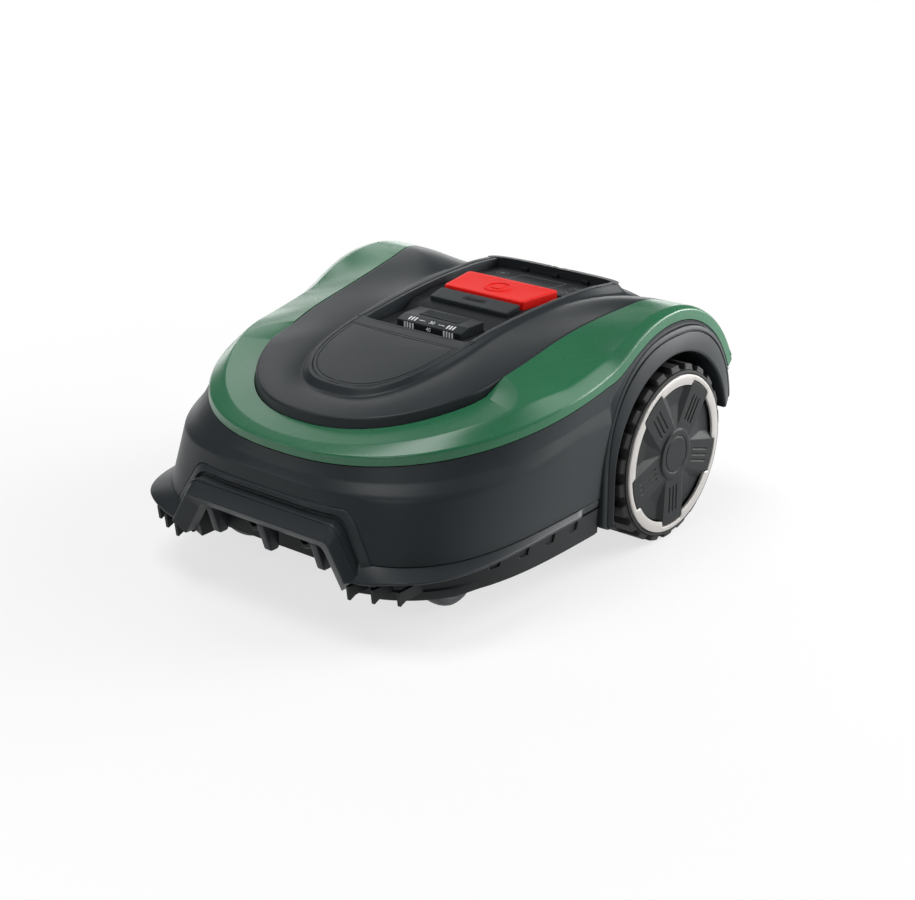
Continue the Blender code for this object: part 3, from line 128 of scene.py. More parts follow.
def length_property(label, words, value, low, high):
    """A length in millimetres that a user may change."""
    return bpy.props.FloatProperty(
        name=label, description=words, default=value * MM, min=low * MM, max=high * MM, unit="LENGTH")


def colour_property(label, words, value):
    """A colour that a user may change."""
    return bpy.props.FloatVectorProperty(
        name=label, description=words, default=value, size=3, min=0, max=1, subtype="COLOR")


class MowerSizes(bpy.types.PropertyGroup):
    """Sizes of the dressed mower that a user may change."""

    wall: length_property("Shell Wall", "Thickness of the moulded shells", 2.4, 1, 4)
    seam: length_property("Shell Seam", "Gap between two neighbouring shells", 0.7, 0.3, 1.5)
    hood_step: length_property("Hood Step", "Height of the hood's front step above the green band", 8, 4, 10)
    wedge_bow: bpy.props.FloatProperty(
        name="Wedge Bow", description="How far the wedge's upper edge bows out, in stations", default=0.03,
        min=0.0, max=0.06)
    lugs: bpy.props.IntProperty(
        name="Tyre Lugs", description="Tread lugs round each half of a tyre", default=22, min=12, max=36)
    lug_depth: length_property("Lug Depth", "Height of a tread lug", 4.7, 2, 5)


class MowerColours(bpy.types.PropertyGroup):
    """Colours of the dressed mower that a user may change."""

    green: colour_property("Green Shell", "Colour of the green ring", (0.023, 0.148, 0.068))
    dark: colour_property("Dark Plastic", "Colour of the hood and the skirt", (0.021, 0.026, 0.029))
    black: colour_property("Black Plastic", "Colour of the tray and the well", (0.011, 0.013, 0.014))
    red: colour_property("Stop Red", "Colour of the stop button", (0.78, 0.013, 0.009))
    rubber: colour_property("Rubber", "Colour of the tyres", (0.022, 0.025, 0.027))
    silver: colour_property("Silver", "Colour of the trim rings", (0.52, 0.50, 0.48))
    grey: colour_property("Grey Plastic", "Colour of the caster wheels", (0.12, 0.125, 0.13))
    steel: colour_property("Steel", "Colour of blades and pins", (0.55, 0.56, 0.57))
    copper: colour_property("Contact Metal", "Colour of the charging contacts", (0.60, 0.42, 0.25))
    marks: colour_property("Scale Marks", "Colour of the height scale", (0.80, 0.82, 0.83))


def size(name):
    """A length that a user may change, in millimetres."""
    return getattr(bpy.context.scene.mower_sizes, name) / MM


# Laws of the shells

def smooth(value):
    """0 to 1 with flat ends."""
    value = np.clip(value, 0, 1)
    return value * value * (3 - 2 * value)


def ramp(y, start, end):
    """How far y lies from start to end, smoothly."""
    return smooth((y - start) / (end - start))


def mix(first, last, share):
    """What lies a share of the way from first to last."""
    return first + (last - first) * share


def soft_max(a, b, blend):
    """The larger of two laws, with the corner between them rounded."""
    return np.maximum(a, b) + blend * np.log1p(np.exp(-np.abs(a - b) / blend))


def bump(value, middle, half):
    """1 at the middle of a narrow band, 0 outside it."""
    return smooth(1 - np.abs(value - middle) / half)


def points(x, y, z):
    """Points from coordinate arrays."""
    return np.stack(np.broadcast_arrays(x, y, z), axis=-1)


def along(*stretches, digits=7):
    """Sorted places along a shell from several stretches of them."""
    return np.unique(np.round(np.concatenate(stretches), digits))


class Ring:
    """A half outline: a superellipse quarter in front, a flared side and a rounded rear quarter."""

    def __init__(self, half_width, reach, squareness, side_end, end_width, back, flare=2.0, corner=3.2):
        self.half_width, self.reach, self.squareness = half_width, reach, squareness
        self.side_end, self.end_width, self.back = side_end, end_width, back
        self.flare, self.corner = flare, corner

    def at(self, station):
        """x and y at stations: 0 to 1 by polar angle in front, 1 to 2 along the side, 2 to 3 behind."""
        station = np.asarray(station, dtype=float)
        n = self.squareness
        angle = np.clip(station, 0, 1) * math.pi / 2
        s, c = np.sin(angle), np.maximum(np.cos(angle), 0)
        radius = ((s / self.half_width) ** n + (c / self.reach) ** n) ** (-1 / n)
        share = np.clip(station - 1, 0, 1)
        side_x = mix(self.half_width, self.end_width, share ** self.flare)
        turn = np.clip(station - 2, 0, 1) * math.pi / 2
        rear_x = self.end_width * np.maximum(np.cos(turn), 0) ** (2 / self.corner)
        rear_y = mix(self.side_end, self.back, np.sin(turn) ** (2 / self.corner))
        x = np.where(station <= 1, radius * s, np.where(station <= 2, side_x, rear_x))
        y = np.where(station <= 1, -radius * c, np.where(station <= 2, self.side_end * share, rear_y))
        return x, y

    def line(self, station, law):
        """Points at stations, at the heights of a law."""
        x, y = self.at(station)
        return points(x, y, law(y))

    def half_at(self, y):
        """Half the width at distances from front to back."""
        n, k = self.squareness, self.corner
        front = self.half_width * (1 - np.clip(-y / self.reach, 0, 1) ** n) ** (1 / n)
        side = mix(self.half_width, self.end_width, np.clip(y / self.side_end, 0, 1) ** self.flare)
        behind = np.clip((y - self.side_end) / (self.back - self.side_end), 0, 1)
        rear = self.end_width * (1 - behind ** k) ** (1 / k)
        return np.where(y < 0, front, np.where(y < self.side_end, side, rear))

    def front_y(self, x):
        """The front outline's y at distances from the middle."""
        share = np.clip(np.abs(x) / self.half_width, 0, 1)
        return -self.reach * (1 - share ** self.squareness) ** (1 / self.squareness)

    def station_at(self, y):
        """The station at distances from front to back."""
        sample = np.linspace(0, 3, 6001)
        return np.interp(y, self.at(sample)[1], sample)


GREEN_EDGE = Ring(172, 192, 2.3, 212.5, 166, 216.5)
GREEN_CREASE = Ring(171.5, 193, 2.25, 220, 165, 221)
GREEN_SHOULDER = Ring(162, 184, 2.1, 218.5, 163.5, 221)
HOOD_EDGE = Ring(123, 165.7, 2.25, 215, 162, 221.5, flare=2.5)
BODY_CREASE = Ring(172, 203, 3.0, 206, 164, 212)
BODY_FOOT = Ring(168.5, 212, 3.8, 184, 152, 194)
BUMPER_RIM = Ring(172, 221.5, 5.0, 150, 172, 180)
BUMPER_UNDER = Ring(166, 213, 4.6, 150, 166, 180)
TRAY_LOW = Ring(167, 205, 3.4, 172, 140, 184)
TRAY_HIGH = Ring(168, 207, 3.5, 176, 146, 188)
PLATFORM_FOOT = Ring(66.5, 131.5, 2.75, 172, 77, 188, flare=1.0)
PLATFORM_EDGE = Ring(61.5, 126.3, 2.85, 170, 70.5, 183, flare=1.0)
WELL_EDGE = Ring(56.5, 25, 12.0, 166, 64, 178.5, flare=1.0, corner=5.0)

TAIL_Z = 121
HOOD_LAP = 2.6
SKIRT_GAP = 0.3

# Stations where the wedge between front band and fender starts, ends and comes to its tip. Columns just
# beside its edges, by WEDGE_RIM, keep them crisp
WEDGE_START = 58.1 / 90
WEDGE_END = 67.7 / 90
WEDGE_TIP = 60.5 / 90
WEDGE_TIP_HALF = 0.002
WEDGE_RIM = 0.0006
WEDGE_TIP_Y = -84

# The D-shaped nose panel
NOSE_BACK_Y = -37.5
NOSE_DEPTH = 86.3
NOSE_HALF_WIDTH = 57
NOSE_POWER = 2 / 2.4
NOSE_RECESS = 1.4
NOSE_GAP = 0.5

# Charging port and rear grip
PORT_TOP_Z = 102
PORT_TOP_HALF = 82.5
PORT_SPLAY = 0.62
PORT_CORNER = 9
PORT_RIBS_X = (-57, 0, 57)
GRIP_HALF_LENGTH = 50
GRIP_HALF_HEIGHT = 13
GRIP_Z = 94

# Stop button and the ribbed block of the height adjuster
STOP_Y = 91
HOLLOW_WALL = 2
BLOCK_FRONT_Y = -5.5
BLOCK_TOP_Z = 187


def over_wheel(front_law, y, radius):
    """A height law that leaves its front line and runs over the wheel on an arc."""
    arc = ARCH_Z + np.sqrt(np.maximum(radius ** 2 - (y - ARCH_Y) ** 2, 0))
    return mix(soft_max(front_law, arc, 8), arc, ramp(y, 10, 70))


def green_edge_height(y):
    """The green shell's lower edge: a rising line, then an arc over the wheel."""
    return over_wheel(160.4 + 0.1639 * y, y, 113)


def crease_height(y):
    """The crease between the green shell's top and its upright lip."""
    return over_wheel(168 + 0.1639 * y, y, 122)


def shoulder_height(y):
    """The outer side of the green top: the low band's line in front, just above the crease behind."""
    fender = crease_height(y) + 7 - 5 * ramp(y, 0, 110)
    return mix(184.7 + 0.2412 * y, fender, ramp(y, WEDGE_TIP_Y, -20))


def low_hood_height(y):
    """Where the hood's step stands on the low band."""
    return 179.9 + 0.2013 * y


def high_hood_height(y):
    """Where the hood lies flush with the fenders, and follows them down to the tail."""
    crown = 186.5 + 0.1824 * y - 0.0004972 * y ** 2
    tail = crease_height(y) + 1.5 - 9 * ramp(y, 195, 215)
    return mix(crown, tail, ramp(y, 95, 140))


def platform_height(y):
    """The raised platform that holds the nose panel and the well."""
    return 189.5 + 0.1208 * y - 0.000521 * y ** 2 - 2 * ramp(y, 130, 185)


def body_crease_height(y):
    """The skirt's soft crease: low in front, climbing to the side, lower at the tail."""
    share = np.clip((y + 203) / 184, 0, 1)
    return 113 + 5 * share + 11 * share ** 2 - 23 * ramp(y, 40, 200)


def body_foot_height(y):
    """The skirt's foot: on the bumper in front, on the tray behind."""
    return 65 - 7.8 * ramp(y, 20, 120)


def wedge_climb(station):
    """0 on the low band in front, 1 behind the wedge."""
    return np.clip((station - WEDGE_START) / (WEDGE_END - WEDGE_START), 0, 1)


def wedge_stations(station, across, bow):
    """Slide the columns so that two of them follow the wedge's edges out to its tip."""
    start = mix(WEDGE_START, WEDGE_TIP - WEDGE_TIP_HALF, across)
    end = mix(WEDGE_END, WEDGE_TIP + WEDGE_TIP_HALF, across) + bow * 4 * across * (1 - across)
    return np.interp(station, [0, WEDGE_START, WEDGE_END, 1, 3], [0, start, end, 1, 3])


def hood_plan(station, clearance=0.0):
    """The hood's outline: its front ellipse draws in to the side line behind the wedge."""
    x, y = HOOD_EDGE.at(station)
    x = x - 6 * ramp(y, -88, -44) * (1 - ramp(y, 0, 150))
    grow = 1 + clearance / np.hypot(x, y)
    return x * grow, y * grow


def well_floor(y):
    """The well's floor: a pit for the height adjuster, a ramp, and a deck for the button and the keys."""
    return 178.3 + 7.7 * ramp(y, 26.5, 46) + 2 * ramp(y, 50, 70) - 4 * ramp(y, 112, 172)


# Surfaces and meshes

def fillet(rows, sizes, steps=4):
    """Rows with each inner row rounded: a quadratic curve from a set distance before the corner to
    the same distance behind it, and never past the middle of a stretch."""
    made = [rows[0]]
    t = np.linspace(0, 1, steps + 1).reshape((-1,) + (1,) * np.ndim(rows[0]))
    for before, here, after, reach in zip(rows, rows[1:], rows[2:], sizes):
        if not reach:
            made.append(here)
            continue
        ends = []
        for way in (before - here, after - here):
            distance = np.maximum(np.linalg.norm(way, axis=-1, keepdims=True), 1e-6)
            ends.append(here + way * np.minimum(reach / distance, 0.5))
        made.extend((1 - t) ** 2 * ends[0] + 2 * t * (1 - t) * here + t ** 2 * ends[1])
    made.append(rows[-1])
    return np.array(made)


def between(first, last, count):
    """Rows that divide the way from one row to another, without its two ends."""
    return list(mix(first, last, np.linspace(0, 1, count + 2)[1:-1].reshape((-1,) + (1,) * np.ndim(first))))


def closed_sweep(sections):
    """Sections of a closed profile joined up, with each end drawn to a point."""
    sections = np.asarray(sections)
    middle = sections.mean(axis=1, keepdims=True).repeat(sections.shape[1], axis=1)
    rows = np.concatenate([middle[:1], sections, middle[-1:]])
    return np.concatenate([rows, rows[:, :1]], axis=1)


def filleted_sweep(rows, sizes):
    """A closed profile, given as the rows that its corners run along, with rounded corners."""
    return closed_sweep(fillet(rows, sizes).transpose(1, 0, 2))


def closed_band(rows):
    """Rows round an axis joined up both ways."""
    rows = np.concatenate([rows, rows[:1]])
    return np.concatenate([rows, rows[:, :1]], axis=1)


def grid_quads(rows, columns):
    """The corner numbers of every quad of a grid."""
    number = np.arange(rows * columns).reshape(rows, columns)
    corners = (number[:-1, :-1], number[:-1, 1:], number[1:, 1:], number[1:, :-1])
    return np.stack(corners, axis=-1).reshape(-1, 4)


def surface_mesh(name, patches, mirrored=False, closed=True):
    """One mesh in metres through grids of points in millimetres, with doubles merged and a closed one's
    faces pointing out."""
    starts = np.cumsum([0] + [patch[..., 0].size for patch in patches])
    places = np.concatenate([patch.reshape(-1, 3) for patch in patches]) * MM
    quads = np.concatenate([grid_quads(*patch.shape[:2]) + start for patch, start in zip(patches, starts)])
    if mirrored:
        quads = np.concatenate([quads, quads[:, ::-1] + len(places)])
        places = np.concatenate([places, places * (-1, 1, 1)])
    mesh = bpy.data.meshes.new(name)
    mesh.vertices.add(len(places))
    mesh.vertices.foreach_set("co", places.ravel())
    mesh.loops.add(quads.size)
    mesh.loops.foreach_set("vertex_index", quads.ravel())
    mesh.polygons.add(len(quads))
    mesh.polygons.foreach_set("loop_start", np.arange(0, quads.size, 4))
    mesh.update(calc_edges=True)
    bm = bmesh.new()
    bm.from_mesh(mesh)
    bmesh.ops.remove_doubles(bm, verts=bm.verts, dist=2e-6)
    bmesh.ops.dissolve_degenerate(bm, edges=bm.edges, dist=2e-6)
    if closed:
        bmesh.ops.recalc_face_normals(bm, faces=bm.faces)
    bm.to_mesh(mesh)
    bm.free()
    return mesh


def add_piece(name, mesh, slot, *nodes, body=BODY, look=None, sharp=35):
    """Link a mesh as a piece that rides on a body and takes the place of CAD nodes. Its finish is that of
    its slot, or of another look."""
    mesh.materials.clear()
    mesh.materials.append(finish(look or slot))
    mesh.shade_smooth()
    mesh.set_sharp_from_angle(angle=math.radians(sharp))
    item = bpy.data.objects.new(name, mesh)
    bpy.context.scene.collection.objects.link(item)
    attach(item, body)
    if nodes:
        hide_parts(*nodes)


def add_solid(name, patches, slot, *nodes, sign=1, **more):
    """Add closed surfaces as a piece, as their mirror image across X = 0 when sign is negative."""
    mesh = surface_mesh(name, patches)
    if sign < 0:
        mesh.transform(Matrix.Diagonal((-1, 1, 1, 1)))
        mesh.flip_normals()
    add_piece(name, mesh, slot, *nodes, **more)


def add_shell(name, patches, slot, node, sharp=35):
    """Add an open surface with its mirror image as a piece that has a wall."""
    mesh = surface_mesh(name, patches, mirrored=True, closed=False)
    add_piece(name, thickened(mesh, size("wall")), slot, node, sharp=sharp)


def thickened(mesh, thickness):
    """An open outer surface with a wall on its inner side."""
    item = bpy.data.objects.new(mesh.name, mesh)
    bpy.context.scene.collection.objects.link(item)
    step = item.modifiers.new("wall", "SOLIDIFY")
    step.thickness = thickness * MM
    step.offset = -1
    depsgraph = bpy.context.evaluated_depsgraph_get()
    made = bpy.data.meshes.new_from_object(item.evaluated_get(depsgraph))
    bpy.data.objects.remove(item)
    return made


def rounded(corners, radius, steps=8):
    """A convex outline with each corner replaced by an arc."""
    made = []
    count = len(corners)
    for i, corner in enumerate(corners):
        here = Vector(corner)
        before = (Vector(corners[i - 1]) - here).normalized()
        after = (Vector(corners[(i + 1) % count]) - here).normalized()
        half = before.angle(after) / 2
        centre = here + (before + after).normalized() * radius / math.sin(half)
        first = here + before * radius / math.tan(half) - centre
        last = here + after * radius / math.tan(half) - centre
        sweep = first.angle_signed(last)
        made += [centre + Matrix.Rotation(-sweep * k / steps, 2) @ first for k in range(steps + 1)]
    return np.array([tuple(point) for point in made])


def oblong(x, y, half_x, half_y):
    """The corners of an oblong."""
    return [(x + i * half_x, y + j * half_y) for i, j in ((-1, -1), (1, -1), (1, 1), (-1, 1))]


def tapered(front, front_half, back, back_half):
    """The corners of an outline that widens from front to back."""
    return [(-front_half, front), (front_half, front), (back_half, back), (-back_half, back)]


def constant(value):
    """A height law with one value."""
    return lambda y: np.full_like(y, value)


def slab_patch(corners, radius, low_law, high_law, edge, dish=0.0, hollow=0.0):
    """A rounded outline carried up from one height law to another, its upper edge a quarter round.
    The top closes by drawing the outline in to its middle, and may be dished there. The underside may be
    hollow inside a wall."""
    outline = rounded(corners, radius)
    middle = (outline.min(0) + outline.max(0)) / 2
    half = (outline.max(0) - outline.min(0)) / 2
    turn = np.linspace(0, math.pi / 2, 6)
    insets = [0, *edge * (1 - np.cos(turn)), *mix(edge, half.min(), np.array([0.2, 0.5, 0.8]))]
    drops = [None, *edge * (1 - np.sin(turn)), *dish * np.array([0.4, 0.8, 1.0])]
    rows = []
    for inset, drop in zip(insets, drops):
        x, y = mix(middle, outline, 1 - inset / half).T
        rows.append(points(x, y, low_law(y) if drop is None else high_law(y) - drop))
    if hollow:
        x, y = mix(middle, outline, 1 - HOLLOW_WALL / half).T
        rows = [points(x, y, low_law(y) + depth) for depth in (hollow, 0)] + rows
    return closed_sweep(rows)


def turned_patch(profile, centre, axis, sides=96):
    """A closed (radius, along) profile carried round an axis through centre."""
    angle = np.linspace(0, 2 * math.pi, sides, endpoint=False)
    radius, height = np.array(profile)[:, :1], np.array(profile)[:, 1:]
    c, s = radius * np.cos(angle), radius * np.sin(angle)
    made = {"X": points(height, c, s), "Y": points(c, height, s), "Z": points(c, s, height)}[axis]
    return closed_band(made + np.array(centre))


def crossed_patch(outline, slices):
    """A flat outline in the YZ plane carried along X, at each place drawn in to its middle by a share."""
    middle = outline.mean(axis=0)
    rows = []
    for x, share in slices:
        row = mix(middle, outline, share)
        rows.append(points(x, row[:, 0], row[:, 1]))
    return closed_sweep(rows)


def text_mesh(words, height, depth):
    """Plain figures as a thin solid in the XY plane."""
    curve = bpy.data.curves.new(words, "FONT")
    curve.body = words
    curve.size = height * MM
    curve.align_x = "CENTER"
    curve.align_y = "CENTER"
    curve.extrude = depth * MM
    item = bpy.data.objects.new(words, curve)
    mesh = bpy.data.meshes.new_from_object(item)
    bpy.data.objects.remove(item)
    return mesh


def joined(name, meshes):
    """Several meshes as one."""
    bm = bmesh.new()
    for mesh in meshes:
        bm.from_mesh(mesh)
    made = bpy.data.meshes.new(name)
    bm.to_mesh(made)
    bm.free()
    return made


def tilted(mesh, y, z, angle):
    """The mesh itself, tilted about X and moved."""
    mesh.transform(Matrix.Translation((0, y * MM, z * MM)) @ Matrix.Rotation(angle, 4, "X"))
    return mesh


# Finishes

def feed(tree, node, inputs):
    """Give a node's inputs their values, or link them to the outputs that feed them."""
    for key, value in inputs.items():
        if isinstance(value, bpy.types.NodeSocket):
            tree.links.new(value, node.inputs[key])
        else:
            node.inputs[key].default_value = value


def add_node(tree, kind, inputs, **settings):
    """The first output in use of a new node with settings and inputs."""
    node = tree.nodes.new(f"ShaderNode{kind}")
    for name, value in settings.items():
        setattr(node, name, value)
    feed(tree, node, inputs)
    return next(output for output in node.outputs if output.enabled)


def add_noise(tree, scale, detail, stretch=(1, 1, 1)):
    """A noise over the object's own coordinates, in repeats per metre."""
    place = tree.nodes.new("ShaderNodeTexCoord").outputs["Object"]
    mapped = add_node(tree, "Mapping", {"Vector": place, "Scale": stretch})
    return add_node(tree, "TexNoise", {"Vector": mapped, "Scale": scale, "Detail": detail})


def add_coat(tree, broad, fine, colour, spread, low, high, depth, inputs):
    """Lead noises to the shader: colour and roughness vary with a broad one, relief with a fine one."""
    tints = [(*(min(c * (1 + side * spread), 1) for c in colour), 1) for side in (-1, 1)]
    tint = add_node(tree, "Mix", {"Factor": broad, "A": tints[0], "B": tints[1]}, data_type="RGBA")
    rough = add_node(tree, "MapRange", {"Value": broad, "From Min": 0.3, "From Max": 0.7, "To Min": low,
                                        "To Max": high})
    relief = add_node(tree, "Bump", {"Height": fine, "Strength": 1.0, "Distance": depth})
    feed(tree, tree.nodes["Principled BSDF"],
         {"Base Color": tint, "Roughness": rough, "Normal": relief, **inputs})


def moulded(tree, colour, roughness, grain, depth, spread=0.10, gloss=0.2, metallic=0.0):
    """Moulded plastic: an even colour, slightly mottled, with a fine spark-eroded grain."""
    fine, broad = add_noise(tree, grain, 3), add_noise(tree, 22, 4)
    add_coat(tree, broad, fine, colour, spread, roughness * 0.92, roughness * 1.1, depth,
             {"Specular IOR Level": gloss, "Metallic": metallic})


def metal(tree, colour, stretch):
    """Bare or plated metal with fine lines along one direction."""
    lines = add_noise(tree, 300, 4, stretch)
    add_coat(tree, lines, lines, colour, 0.12, 0.23, 0.38, 6e-6, {"Metallic": 1.0})


def finish(slot):
    """The finish of one material slot."""
    table, build = (METALS, metal) if slot in METALS else (PLASTICS, moulded)
    name, tint, *sizes = table.get(slot, PLASTICS["shell_dark"])
    material = bpy.data.materials.get(name)
    if not material:
        material = bpy.data.materials.new(name)
        material.use_nodes = True
        build(material.node_tree, getattr(bpy.context.scene.mower_colours, tint), *sizes)
    return material


# Shells

def green_rows():
    """The green ring's rows from its lower edge over the crease and the shoulder to the hood. The top
    runs straight from shoulder to hood, and its inner end climbs along the wedge."""
    rim = np.array([-WEDGE_RIM, WEDGE_RIM])
    station = along(np.linspace(0, 1, 121), np.linspace(WEDGE_START, WEDGE_END, 25), np.linspace(1, 2, 161),
                    WEDGE_START + rim, WEDGE_END + rim)
    outer = wedge_stations(station, 1, 0)
    rows = [GREEN_EDGE.line(outer, green_edge_height), GREEN_CREASE.line(outer, crease_height)]
    for across in np.linspace(1, 0, 17):
        s = wedge_stations(station, across, bpy.context.scene.mower_sizes.wedge_bow)
        x, y = hood_plan(s, size("seam"))
        inner = points(x, y, mix(low_hood_height(y), high_hood_height(y), wedge_climb(station)))
        rows.append(mix(inner, GREEN_SHOULDER.line(s, shoulder_height), across))
    return fillet(rows, [1.6, 6] + [0] * 16, 8)


class MOWER_OT_green_shell(bpy.types.Operator):
    """Add the green ring: front band, wedges, fenders and the upright lip below them"""

    bl_idname = "mower.green_shell"
    bl_label = "Green Shell"

    def execute(self, context):
        add_shell("green_ring", [green_rows()], "shell_green", "green_shell", sharp=17)
        return {"FINISHED"}


def port_height(x):
    """z of the skirt's edge over the port at distances from the middle: a level top, a quadratic corner
    and a leg."""
    half = PORT_TOP_HALF + SKIRT_GAP * (1 - PORT_SPLAY)
    reach = np.clip(1 + (np.abs(x) - half) / PORT_CORNER, 0, 1 + PORT_SPLAY)
    t = (1 - np.sqrt(1 - (1 - PORT_SPLAY) * reach)) / (1 - PORT_SPLAY)
    leg = np.maximum(np.abs(x) - half - PORT_SPLAY * PORT_CORNER, 0) / PORT_SPLAY
    return PORT_TOP_Z + SKIRT_GAP - PORT_CORNER * t ** 2 - leg


def port_line(down, aside, corner, foot):
    """The same outline as points (x, z) from its left foot over the top to its right foot, moved down and
    drawn in."""
    top, half = PORT_TOP_Z - down, PORT_TOP_HALF + PORT_SPLAY * down - aside
    t = np.linspace(0, 1, 15)[1:]
    leg = (top - corner - foot) * np.linspace(0, 1, 25)[1:]
    x = np.concatenate([np.linspace(0, half - corner, 33),
                        half - corner * (1 - t) ** 2 + PORT_SPLAY * corner * t ** 2,
                        half + PORT_SPLAY * (corner + leg)])
    z = np.concatenate([np.full(33, top), top - corner * t ** 2, top - corner - leg])
    right = np.stack([x, z], axis=-1)
    return np.concatenate([right[:0:-1] * (-1, 1), right])


def crown_height(y):
    """z of the seam round an arch at distances from front to back, a superellipse."""
    share = np.clip(np.abs(y - CROWN_Y) / CROWN_HALF, 0, 1)
    return ARCH_Z + CROWN_RISE * (1 - share ** CROWN_POWER) ** (1 / CROWN_POWER)


def on_profile(foot, crease, top, height):
    """Points at given heights of a profile that runs straight from foot to crease and on to the top."""
    low = np.clip((height - foot[:, 2]) / (crease[:, 2] - foot[:, 2]), 0, 1)[:, None]
    high = np.clip((height - crease[:, 2]) / (top[:, 2] - crease[:, 2]), 0, 1)[:, None]
    made = foot + (crease - foot) * low + (top - crease) * high
    made[:, 2] = height
    return made


def skirt_top(y):
    """The skirt's upper edge: a seam below the green ring, and below the hood at the tail."""
    return np.maximum(green_edge_height(y), TAIL_Z) - size("seam")


def skirt_lines(station):
    """The skirt's foot, crease and upper edge at stations."""
    return (BODY_FOOT.line(station, body_foot_height), BODY_CREASE.line(station, body_crease_height),
            GREEN_EDGE.line(station, skirt_top))


def skirt_rows(foot, crease, top, start):
    """Rows of the skirt from a lower limit over its soft crease and a shallow cove to its upper edge."""
    low = on_profile(foot, crease, top, start)
    middle = on_profile(foot, crease, top, np.maximum(crease[:, 2], start))
    cove = mix(middle, top, 0.45)
    depth = 0.013 * np.clip((top[:, 2] - middle[:, 2]) / 30, 0, 1)
    cove[:, :2] *= 1 - depth[:, None]
    rows = [low, *between(low, middle, 8), middle, mix(middle, cove, 0.8), cove, *between(cove, top, 5), top]
    return fillet(rows, [0] * 8 + [4, 0, 12] + [0] * 5)


def skirt_front():
    """The skirt's front by polar station: its lower limit is the foot or the port's outline."""
    lines = skirt_lines(along(np.linspace(0, 0.45, 131), np.linspace(0.45, 1, 71)))
    foot_z = lines[0][:, 2]
    start = foot_z
    for _ in range(5):
        start = np.maximum(foot_z, port_height(on_profile(*lines, start)[:, 0]))
    return skirt_rows(*lines, start)


def skirt_flank():
    """The skirt's side by distance from front to back: its lower limit is the foot or the arch's seam."""
    leg_y = CROWN_Y - CROWN_HALF
    sweep = CROWN_Y - CROWN_HALF * np.cos(np.linspace(0, math.pi, 141))
    y = along(np.linspace(0, leg_y - SKIRT_GAP, 9), sweep[sweep < ARCH_TAIL_Y], [ARCH_TAIL_Y], digits=4)
    foot = points(BODY_FOOT.half_at(np.minimum(y, BODY_FOOT.side_end)), y, body_foot_height(y))
    crease = points(BODY_CREASE.half_at(np.minimum(y, BODY_CREASE.side_end)), y, body_crease_height(y))
    top = points(GREEN_EDGE.half_at(y), y, skirt_top(y))
    start = np.where(y < leg_y, foot[:, 2], crown_height(y) + SKIRT_GAP)
    return skirt_rows(foot, crease, top, start)


def skirt_rear():
    """The skirt's back in two strips, below and above the pill-shaped mouth of the grip."""
    foot, crease, top = skirt_lines(np.linspace(2, 3, 121))
    share = np.clip((ARCH_TAIL_Y - foot[:, 1]) / (crease[:, 1] - foot[:, 1]), 0, 1)
    start = np.where(crease[:, 0] > 127, mix(foot[:, 2], crease[:, 2], share), foot[:, 2])
    beyond = np.clip(np.abs(crease[:, 0]) - GRIP_HALF_LENGTH, 0, GRIP_HALF_HEIGHT)
    mouth = np.sqrt(GRIP_HALF_HEIGHT ** 2 - beyond ** 2)
    low, high = np.maximum(GRIP_Z - mouth, start), np.maximum(GRIP_Z + mouth, start)
    strips = []
    for first, last in ((start, low), (high, top[:, 2])):
        heights = mix(first, last, np.linspace(0, 1, 16)[:, None])
        strips.append(np.array([on_profile(foot, crease, top, height) for height in heights]))
    return strips


class MOWER_OT_skirt(bpy.types.Operator):
    """Add the dark skirt below the green ring, open for the port, the wheels and the rear grip"""

    bl_idname = "mower.skirt"
    bl_label = "Skirt"

    def execute(self, context):
        add_shell("skirt", [skirt_front(), skirt_flank(), *skirt_rear()], "shell_dark", "body_shell")
        return {"FINISHED"}


def nose_half(y, grow):
    """Half the width of the D-shaped panel's outline, grown all round; behind it the width holds."""
    share = np.clip((NOSE_BACK_Y - y) / (NOSE_DEPTH + grow), 0, 1)
    return (NOSE_HALF_WIDTH + grow) * (1 - share ** (2 / NOSE_POWER)) ** (NOSE_POWER / 2)


def hood_columns():
    """Distances from front to back at which the platform has a row: along its own outline, round the
    panel's recess, with that recess's back edge twice, and round the well."""
    well = WELL_EDGE
    turn = np.linspace(0, math.pi / 2, 31)
    panel = NOSE_BACK_Y - (NOSE_DEPTH + NOSE_GAP) * np.cos(turn) ** NOSE_POWER
    front_well = -well.reach * np.cos(turn) ** (2 / well.squareness)
    rear_well = mix(well.side_end, well.back, np.sin(turn) ** (2 / well.corner))
    own = PLATFORM_EDGE.at(np.linspace(0, 3, 181))[1]
    extra = [NOSE_BACK_Y + NOSE_GAP, -well.reach, well.back]
    return np.sort(np.concatenate([along(panel[:-1], front_well, rear_well, own, extra, digits=4), extra]))


